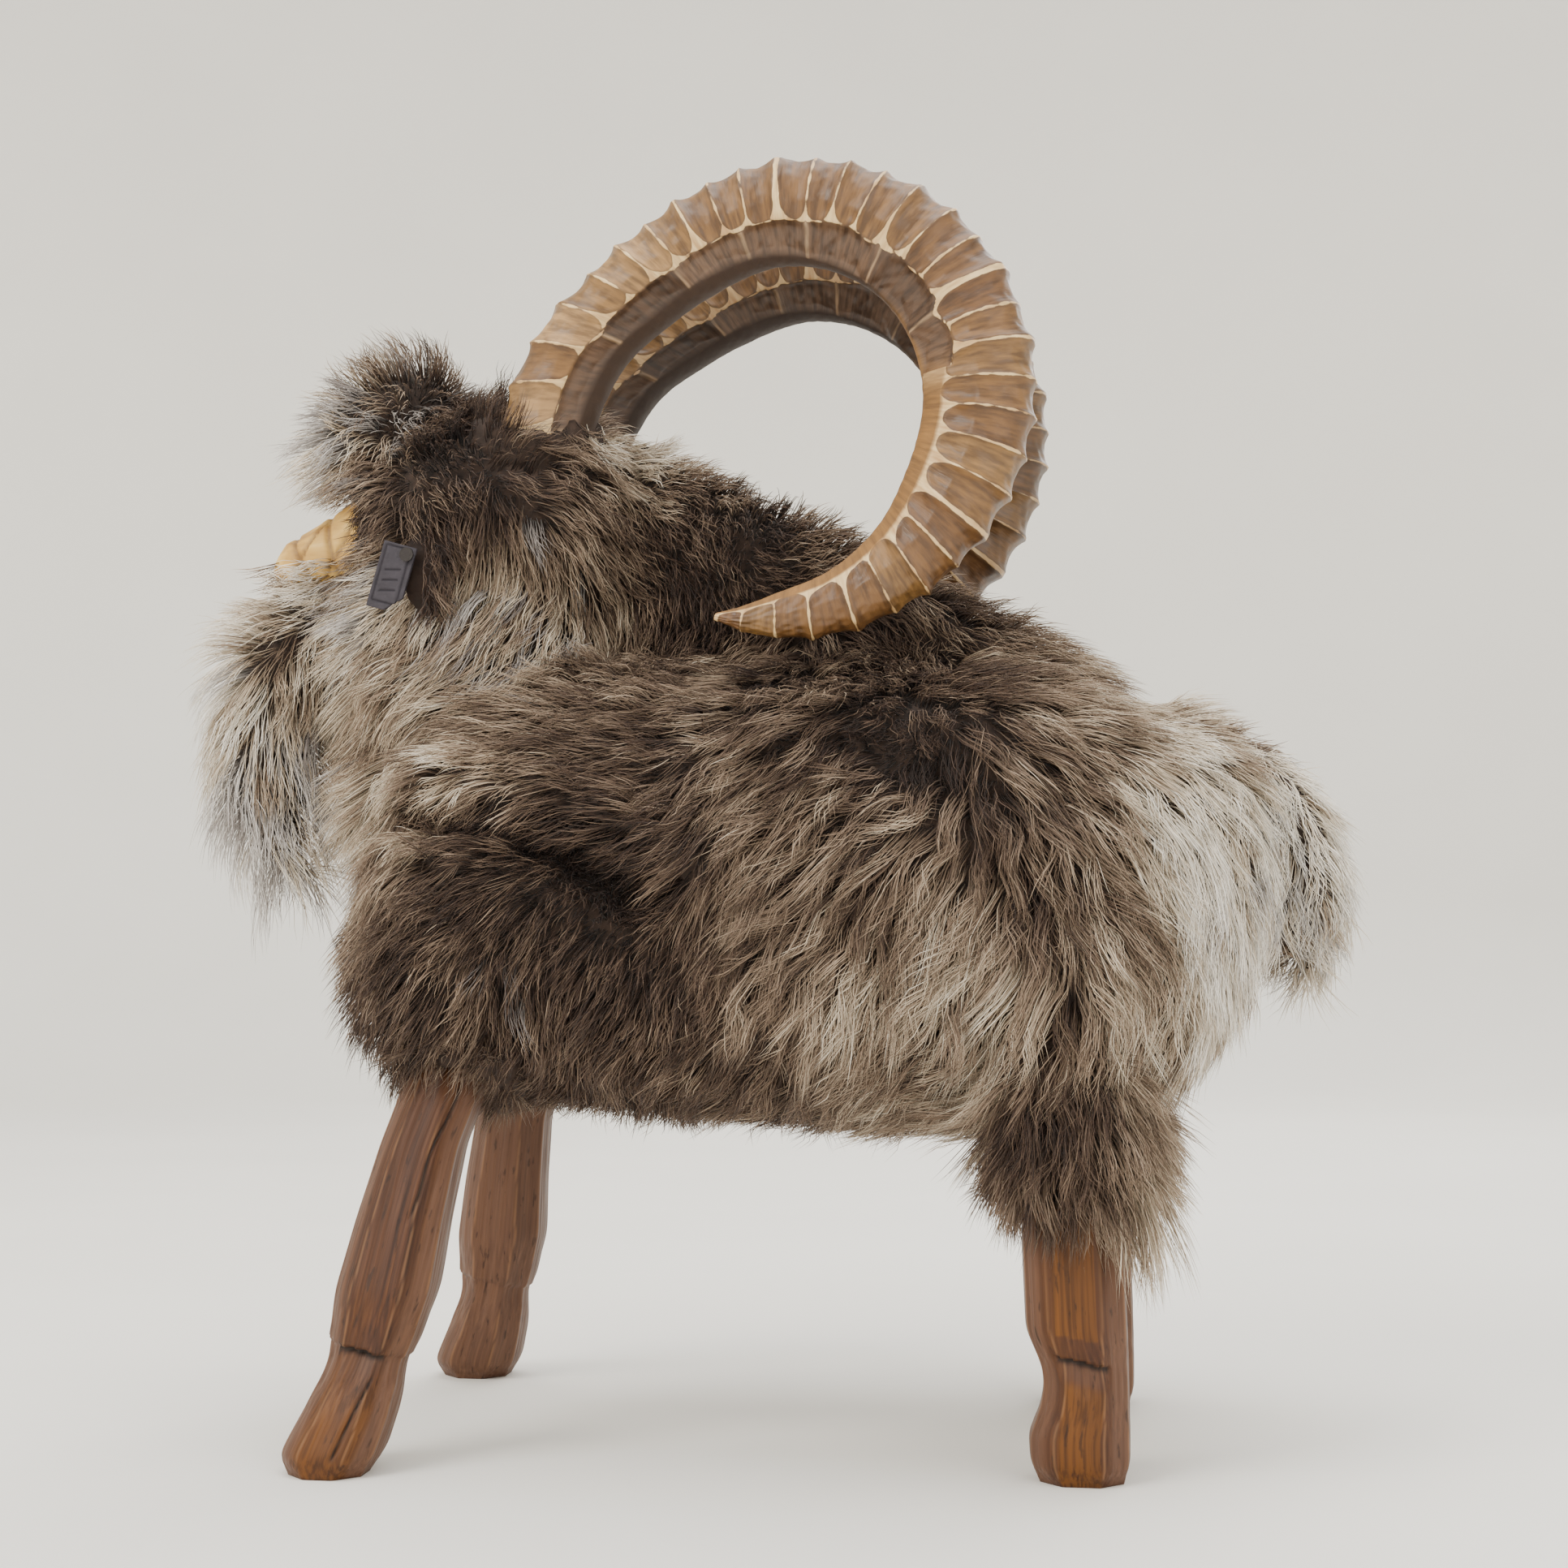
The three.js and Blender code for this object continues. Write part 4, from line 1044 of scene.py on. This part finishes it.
def carve_leg(name, end, side):
    """A leg with its notch over the hoof, a pale highlight painted along its corners, and the long drying
    cracks of the front legs.
    """
    node = f"leg_{end}_{name}"
    low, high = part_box(node)
    heights = np.append(np.arange(low[2], high[2], LEG_STEP * MM), high[2])
    rings, middles = leg_rings(node, heights)
    rings, middles = (softened(values) for values in (rings, middles))
    local = rings - middles[:, None]
    bend = local - 0.5 * (np.roll(local, 1, 1) + np.roll(local, -1, 1))
    corner = lengths(bend)[..., 0] / MM
    outward = unit(local * [1, 1, 0])
    y, z = local[..., 1] / MM, heights[:, None] / MM
    on_outer = smoothstep(0.70, 0.85, side * outward[..., 0])
    below = NOTCH_HEIGHT - 0.2 * y - z + 0.35 * np.sin(y / 1.3)  # how far under the notch
    reach = np.clip(1 - (y / NOTCH_WIDTH * 2) ** 2, 0, 1) ** 0.5
    scoop = (below > 0) * np.clip(1 - below / (4 + 16 * reach), 0, 1) ** 1.1 * reach
    sunk = NOTCH_DEPTH * on_outer * scoop
    if end == "front":
        sunk = np.maximum(sunk, SAW_STEP * (below > 0) * np.clip(1 - below / 14, 0, 1))
    across = (local * [1, 1, 0.25]).reshape(-1, 3)
    sunk += 0.35 * noise(across, 9, 41).reshape(sunk.shape)
    sunk += 0.16 * noise(across * [1, 1, 0.25], 1.8, 42).reshape(sunk.shape)
    crack = np.zeros_like(sunk)
    if end == "front":
        angle = np.degrees(np.arctan2(local[..., 1], side * local[..., 0]))
        for low_z, high_z, low_angle, high_angle in CRACKS:
            share = (z - low_z) / (high_z - low_z)
            line = low_angle + (high_angle - low_angle) * share + 1.6 * np.sin(z / 7)
            window = smoothstep(0, 0.12, share) * smoothstep(1, 0.9, share)
            crack = np.maximum(crack, window * np.exp(-(((angle - line) / 1.5) ** 2)))
    sunk += CRACK_DEPTH * crack
    on_end = smoothstep(low[2] / MM + 3, low[2] / MM + 5, z)
    rings -= outward * (sunk * on_end)[..., None] * MM
    piece = ring_piece(f"carved_leg_{end}_{name}", rings)
    # the slot: a dark line just under the notch's lip, painted shade under the overhang
    slot = on_outer * (below > 0) * smoothstep(4.5, 1.5, below) * (reach > 0.3)
    centre = smoothstep(12, 10, np.abs(y)) * on_outer
    clear = np.maximum(below < -12, smoothstep(10, 16, below))
    golden = 0.85 * centre * clear if end == "rear" else 0.5 * on_outer * smoothstep(0, 30, below)
    values = {
        "crack": np.clip(crack + 0.9 * slot, 0, 1),
        "golden": golden,
        # pinkish sheen painted on all but the outer face, and in the notch
        "mauve_sheen": 0.5 * np.maximum(1 - on_outer, scoop * on_outer),
        # a pale line on the corners: painted highlight
        "edge": 0.25 * smoothstep(0.20, 0.34, corner) * on_end,
    }
    grain = local.reshape(-1, 3) * [1, 1, 0]
    grain[:, 2] = np.repeat(heights, LEG_AROUND)
    grain += [0.31 * side, 0.17 * (end == "front"), 0]  # so that no two legs are alike
    put_ring_attributes(piece, values, grain)
    dressed(piece, LEG_WOOD, SLOT_OF[node], node)


def small_fleece(prefix, node, mesh, hairs, locks, rng, near=math.inf):
    """Wool on a small piece, from locks that are combed already. Hair that is further than near
    millimetres from every lock is left out, so part of the piece can stay bare."""
    roots, normals = scattered(mesh, hairs, rng)
    paths, own = hair_paths(roots, normals, rng, locks, HAIR_KNOTS)
    shade = shade_place(locks["shade"][own] + 0.07 * rng.normal(size=hairs), locks["grey"][own])
    width = HAIR_RADIUS * MM * rng.uniform(0.75, 1.25, hairs)
    keep = clear_of_solids(paths) & (lengths(roots - locks["root"][own])[:, 0] < near * MM)
    wool_pieces(prefix, node, paths[keep], shade[keep], width[keep], SLOT_OF[node])


def cuff(name, side):
    """The wool that hangs round the top of a rear leg, on a sleeve of hide."""
    node = "rear_cuff_" + name
    low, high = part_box(node)
    heights = np.linspace(low[2] + CUFF_SPAN[0] * MM, high[2] + CUFF_SPAN[1] * MM, CUFF_RINGS)
    bulge = CUFF_BULGE * MM * np.sin(np.linspace(0.25, 0.9, CUFF_RINGS) * math.pi)
    rings, middles = leg_rings("leg_rear_" + name, heights, 0.0015)
    rings += unit((rings - middles[:, None]) * [1, 1, 0]) * bulge[:, None, None]
    sleeve = ring_piece("cuff_hide_" + name, rings)
    dressed(sleeve, HIDE, SLOT_OF[node])
    rng = np.random.default_rng(60 + side)
    locks = make_locks(sleeve.data, CUFF_LOCKS, rng)
    count = len(locks["root"])
    out = unit((locks["root"] - middles.mean(0)) * [1, 1, 0])
    top = smoothstep(low[2], high[2], locks["root"][:, 2])
    behind = smoothstep(0.25, 0.8, out[:, 1])
    tassel = behind * (rng.random(count) < 0.6) * (top < 0.6)
    spread = 0.25 - 0.25 * tassel[:, None]
    locks["flow"] = unit(out * spread + [0, 0.05, -1] + 0.22 * rng.normal(size=out.shape))
    locks["length"] = 17 + 20 * top + 28 * tassel + 3 * rng.normal(size=count)
    locks["lift"] = 7 + 8 * smoothstep(-0.6, 0.6, out[:, 1]) - 5 * top * behind + 2 * rng.normal(size=count)
    # darker near the top, where the thigh's wool hangs over the cuff: painted shade
    locks["shade"] = 0.29 - 0.14 * smoothstep(0.6, 1, top) + 0.08 * noise(locks["root"], 22, 71)
    locks["shade"] += 0.06 * rng.normal(size=count) + 0.36 * behind
    locks["curl"] = np.full(count, 0.2)
    small_fleece("cuff_" + name, node, sleeve.data, CUFF_HAIRS, locks, rng)


LEG_WOOD = leg_material()
for name, side in SIDES.items():
    carve_leg(name, "front", side)
    carve_leg(name, "rear", side)
    cuff(name, side)

# ---------------------------------------------------------------------------
# Horns
# ---------------------------------------------------------------------------


def horn_values(at_angle):
    """Outer radius, half thickness, half width and side of the horn at each angle, smoothly."""
    rows = HORN_ROWS
    slopes = np.gradient(rows[:, 1:], rows[:, 0], axis=0)
    i = np.clip(np.searchsorted(rows[:, 0], at_angle, side="right") - 1, 0, len(rows) - 2)
    step = (rows[i + 1, 0] - rows[i, 0])[:, None]
    t = (at_angle[:, None] - rows[i, :1]) / step
    start, end = rows[i, 1:], rows[i + 1, 1:]
    ease = t * t * (3 - 2 * t)
    bend = t * (1 - t) ** 2 * step * slopes[i] - t * t * (1 - t) * step * slopes[i + 1]
    return (start + (end - start) * ease + bend).T


def gouge_row(place, turn, start, end, spacing, seed):
    """Gouge cuts side by side along the horn, from start to end degrees round its section. Returns how
    deep each point is in its own cut and in the next one to it, which cut is its own, and its place
    between the row's ends, from -1 to 1."""
    column = place / spacing
    own = np.random.default_rng(seed)
    jitter = own.uniform(-0.15, 0.15, CUTS)
    uneven = own.uniform(-0.07, 0.07, CUTS)
    cuts, slots, betweens = [], [], []
    for step in (-1, 0, 1):
        cell = np.floor(column).astype(int) + step
        slot = cell % CUTS
        across = np.abs(column - cell - 0.5 - jitter[slot]) / 0.56
        between = (2 * turn - start - end) / (end - start) - uneven[slot]
        cuts.append(1 - across ** 2.2 - between ** 6)
        slots.append(slot + 100 * seed)  # so that no two rows share a number
        betweens.append(between)
    order = np.argsort(cuts, axis=0)
    cuts, slots, betweens = (np.take_along_axis(np.array(v), order, 0) for v in (cuts, slots, betweens))
    return cuts[2], cuts[1], slots[2], betweens[2]


def make_horn(name, side):
    """A horn cut all over with a gouge: facets from its scalloped rim to past the middle of each side,
    then a row of longer scoops from the root to the far side of the ring, and a smooth inner face."""
    node = "horn_" + name
    angles = np.linspace(HORN_ROWS[0, 0], HORN_ROWS[-1, 0], HORN_RINGS)
    outer, thick, wide, away = horn_values(angles)
    around = np.degrees(2 * np.pi * np.arange(HORN_AROUND) / HORN_AROUND)
    around = np.where(around > 180, around - 360, around)[None] + 0 * angles[:, None]
    turn = np.abs(around)
    place = angles[:, None] + 0 * turn
    upper = smoothstep(-6, 16, place)  # 0 on the lower arc, which has no scoops
    to_root = smoothstep(50, 130, place)
    facet_end = 128 - 14 * upper
    scoop_end = 164 - 22 * to_root
    facet, next_facet, facet_number, _ = gouge_row(place, turn, -40, facet_end, HORN_FACET, 1)
    scoop, next_scoop, scoop_number, between = gouge_row(place, turn, facet_end - 5, scoop_end + 6,
                                                         HORN_FACET * 2.9, 3)
    scoop = np.where(upper > 0.5, scoop, -9)
    in_scoop = scoop > facet
    number = np.where(in_scoop, scoop_number, facet_number)
    parted = 0.5 * np.abs(facet - scoop)
    facet_ridge = np.minimum(np.minimum(facet, 0.5 * (facet - next_facet)), parted)
    scoop_ridge = np.minimum(np.where(between < 0, 1 - between ** 6, 1), parted)
    ridge = np.where(in_scoop, scoop_ridge, facet_ridge) * smoothstep(-108, -103, place)  # 0 on pale wood
    arris_highlight = np.where(in_scoop, 0.5 * (scoop - next_scoop), 1)  # 0 on the edges between scoops, where a pale highlight is painted
    smooth_face = smoothstep(scoop_end - 2, scoop_end + 3, turn)
    smooth_face = np.maximum(smooth_face, smoothstep(facet_end - 2, facet_end + 3, turn) * (1 - upper))
    deepest = np.where(in_scoop, SCOOP_DEPTH, FACET_DEPTH) * np.clip(thick / 26, 0, 1)[:, None]
    hollow = np.clip(np.maximum(facet, scoop), 0, 1) ** 0.8
    depth = deepest * np.clip(hollow - 0.3, 0, 1) / 0.7 * (1 - smooth_face)
    marks = np.stack([place * 2.3, turn * 0.5, number * 7.0], -1).reshape(-1, 3) * MM
    depth += 0.3 * noise(marks, 5, 61).reshape(place.shape) * (1 - 0.6 * smooth_face)
    across = np.cos(np.radians(around))
    sideways = np.sign(around) * np.abs(np.sin(np.radians(around))) ** 0.8
    narrow = np.where(across < 0, 1 + (0.45 - 0.15 * to_root) * across, 1)
    reach_out = across * (thick[:, None] - depth)
    reach_side = sideways * (wide[:, None] * narrow - np.abs(sideways) * depth)
    from_centre = (outer - thick)[:, None] + reach_out
    rings = np.stack([
        (away[:, None] + reach_side) * side,
        HORN_CENTRE[0] + from_centre * np.cos(np.radians(place)),
        HORN_CENTRE[1] + from_centre * np.sin(np.radians(place)),
    ], -1) * MM
    flip = slice(None, None, -side)  # so that the faces of both horns look outwards
    piece = ring_piece("carved_horn_" + name, rings[:, flip])
    tones = np.random.default_rng(9).random(400)
    values = {
        "ridge": ridge,
        "arris_highlight": arris_highlight,
        "tone": 0.7 * tones[number] + 0.3 * smoothstep(115, 150, place),
        "scoop": in_scoop.astype(float),
        "smooth_face": smooth_face,
        "pale": smoothstep(60, 5, place),
    }
    grain = np.stack([reach_side + 200 * side, reach_out, place * 2.3], -1) * MM
    put_ring_attributes(piece, {key: value[:, flip] for key, value in values.items()}, grain[:, flip])
    dressed(piece, HORN_WOOD[name], SLOT_OF[node], node)


# the right horn, on the far side, is painted darker and greyer, as in shade
HORN_WOOD = {"left": horn_material("horn_wood", 0.0), "right": horn_material("horn_wood_shaded", 0.8)}
for name, side in SIDES.items():
    make_horn(name, side)

# ---------------------------------------------------------------------------
# Head block, ears, tag, and the looks of the pieces that stay as the CAD has them
# ---------------------------------------------------------------------------


def make_head():
    """The head block, gouged over the nose, and the wool of the muzzle."""
    head = copied("carved_head", ["head_block"], 1.8, 3)
    points = coordinates(head.data)
    along, height = points[:, 1] / MM, points[:, 2] / MM
    grooves = np.zeros(len(points))
    for start, slant, width in NOSE_LINES:
        line = along - start - slant * (height - 515) - 1.5 * np.sin(np.abs(points[:, 0]) / MM / 6)
        grooves = np.maximum(grooves, np.exp(-((line / width) ** 2)) * smoothstep(488, 498, height))
    facets = np.abs(noise(points, 15, 51))
    points -= normals_of(head.data) * (grooves * 1.7 + 1.2 * facets)[:, None] * MM
    set_coordinates(head.data, points)
    put_attribute(head.data, "carved", grooves * 0.7)
    dressed(head, nose_material(), "pale_wood", "head_block")

    rng = np.random.default_rng(90)
    locks = make_locks(head.data, MUZZLE_LOCKS, rng)
    y, z = locks["root"][:, 1] / MM, locks["root"][:, 2] / MM
    under_nose = (z < 500 + 0.2 * (y + 290)) & (y < -225)
    locks = {key: value[under_nose] for key, value in locks.items()}
    count = len(locks["root"])
    locks["length"] = rng.uniform(14, 22, count)
    locks["lift"] = rng.uniform(5, 10, count)
    small_fleece("muzzle", "beard_fleece", head.data, MUZZLE_HAIRS, locks, rng, 7)


def make_ear(name, side):
    """A leather ear with short dark wool on it."""
    ear = copied("leather_ear_" + name, ["ear_" + name], 0.8, 4)
    put_attribute(ear.data, "tooled", np.zeros(len(ear.data.vertices)))
    dressed(ear, EAR_LEATHER, "leather", "ear_" + name)
    rng = np.random.default_rng(80 + side)
    locks = make_locks(ear.data, EAR_LOCKS, rng)
    locks["flow"] = unit(np.array([0.1 * side, 0.25, -1]) + 0.25 * rng.normal(size=(EAR_LOCKS, 3)))
    for key, low, high in (("length", 12, 19), ("lift", 3, 7), ("shade", 0.10, 0.34)):
        locks[key] = rng.uniform(low, high, EAR_LOCKS)
    locks["curl"] = np.full(EAR_LOCKS, 0.1)
    locks["grey"][:] = False
    small_fleece("ear_" + name, "head_fleece", ear.data, EAR_HAIRS, locks, rng)


def make_tag():
    """The tag, tooled with a plain line inside its edge and a few straight strokes."""
    tag = copied("tooled_tag", ["ear_tag"], 0.5, 3, body="tag")
    points = coordinates(tag.data)
    _, y, z = ((points - (points.min(0) + points.max(0)) / 2) / MM).T
    lean = math.radians(TAG_LEAN)
    across = y * math.cos(lean) - z * math.sin(lean)
    down = y * math.sin(lean) + z * math.cos(lean)
    half_width, half_height = TAG_FRAME
    beyond = 9  # keeps a line from running on past its ends
    lines = [
        np.abs(np.abs(across) - half_width) + beyond * (np.abs(down) > half_height),
        np.abs(np.abs(down) - half_height) + beyond * (np.abs(across) > half_width),
    ]
    for at in TAG_STROKES:
        lines.append(np.abs(down - 0.25 * across - at) + beyond * (np.abs(across) > TAG_STROKE))
    tooled = np.exp(-((np.min(lines, 0) / 0.6) ** 2))
    points -= normals_of(tag.data) * tooled[:, None] * 0.5 * MM
    set_coordinates(tag.data, points)
    put_attribute(tag.data, "tooled", tooled * 0.8)
    dressed(tag, leather_material("tag_leather", "252226", "4a464c", 600), "tag_leather", "ear_tag")


make_head()
EAR_LEATHER = leather_material("ear_leather", "120a07", "27180f")
for name, side in SIDES.items():
    make_ear(name, side)
make_tag()

STEEL = plain_material("dull_steel", "4a4746", "242120", 900, 0.45, 1.0, (1, 1, 8))
TIMBER = plain_material("sawn_timber", "c9a878", "96713f", 60, 0.75, 0.0, (1, 0.15, 1))
WADDING = plain_material("felted_wadding", "ece6da", "c9bfae", 260, 0.95)
KEPT = {"steel": STEEL, "frame_timber": TIMBER, "wadding": WADDING}
for node, slot in SLOT_OF.items():
    if slot in KEPT:
        NODES[node].data.materials.clear()
        NODES[node].data.materials.append(KEPT[slot])
bevel = NODES["tag_rivet"].modifiers.new("worn", "BEVEL")
bevel.width = 0.4 * MM
bevel.segments = 3

# ---------------------------------------------------------------------------
# Studio
# ---------------------------------------------------------------------------


def lamp(name, place, size, power, colour=(1, 1, 1)):
    light = bpy.data.lights.new(name, "AREA")
    light.size = size
    light.energy = power
    light.color = colour
    holder = bpy.data.objects.new(name, light)
    holder.location = place
    holder.rotation_mode = "QUATERNION"
    aim = Vector((0, 0, 0.35)) - Vector(place)
    holder.rotation_quaternion = aim.to_track_quat("-Z", "Y")
    bpy.context.scene.collection.objects.link(holder)


def backdrop():
    """A pale floor that sweeps up to a wall, all round."""
    radius, bend, height = 4.0, 1.2, 6.0
    profile = [(0.0, 0.0)]
    for turn in np.linspace(0, math.pi / 2, 14):
        profile.append((radius - bend + bend * math.sin(turn), bend - bend * math.cos(turn)))
    profile.append((radius, height))
    build = bmesh.new()
    turned = [build.verts.new((r, 0, z)) for r, z in profile]
    edges = [build.edges.new(pair) for pair in zip(turned, turned[1:])]
    bmesh.ops.spin(build, geom=turned + edges, axis=(0, 0, 1), angle=2 * math.pi, steps=72,
                   use_merge=True)
    bmesh.ops.remove_doubles(build, verts=build.verts, dist=1e-5)
    bmesh.ops.recalc_face_normals(build, faces=build.faces)
    mesh = bpy.data.meshes.new("backdrop")
    build.to_mesh(mesh)
    build.free()
    smooth_shaded(mesh)
    holder = bpy.data.objects.new("backdrop", mesh)
    bpy.context.scene.collection.objects.link(holder)
    paper = plain_material("studio_paper", "f4f1ea", "ebe8e1", 3, 0.9)
    mesh.materials.append(paper)


backdrop()
lamp("key", (2.2, -1.9, 2.6), 1.8, 92, (1.0, 0.97, 0.93))
lamp("fill", (2.6, 2.2, 1.4), 2.4, 42, (0.93, 0.96, 1.0))
lamp("top", (0.0, 0.2, 3.0), 2.4, 78)
lamp("back", (-2.4, 0.8, 2.0), 2.0, 44)
world = bpy.data.worlds.new("studio")
world.use_nodes = True
world.node_tree.nodes["Background"].inputs[0].default_value = (0.9, 0.92, 0.95, 1)
world.node_tree.nodes["Background"].inputs[1].default_value = 0.95
bpy.context.scene.world = world

lens = bpy.data.cameras.new("camera")
lens.lens = CAMERA_LENS
lens.sensor_width = CAMERA_SENSOR
camera = bpy.data.objects.new("camera", lens)
camera.location = Vector(CAMERA_PLACE) * MM
azimuth, pitch = math.radians(CAMERA_AZIMUTH), math.radians(CAMERA_PITCH)
level = math.cos(pitch)
looking = Vector((-math.sin(azimuth) * level, math.cos(azimuth) * level, math.sin(pitch)))
camera.rotation_mode = "QUATERNION"
camera.rotation_quaternion = looking.to_track_quat("-Z", "Y")
bpy.context.scene.collection.objects.link(camera)
bpy.context.scene.camera = camera
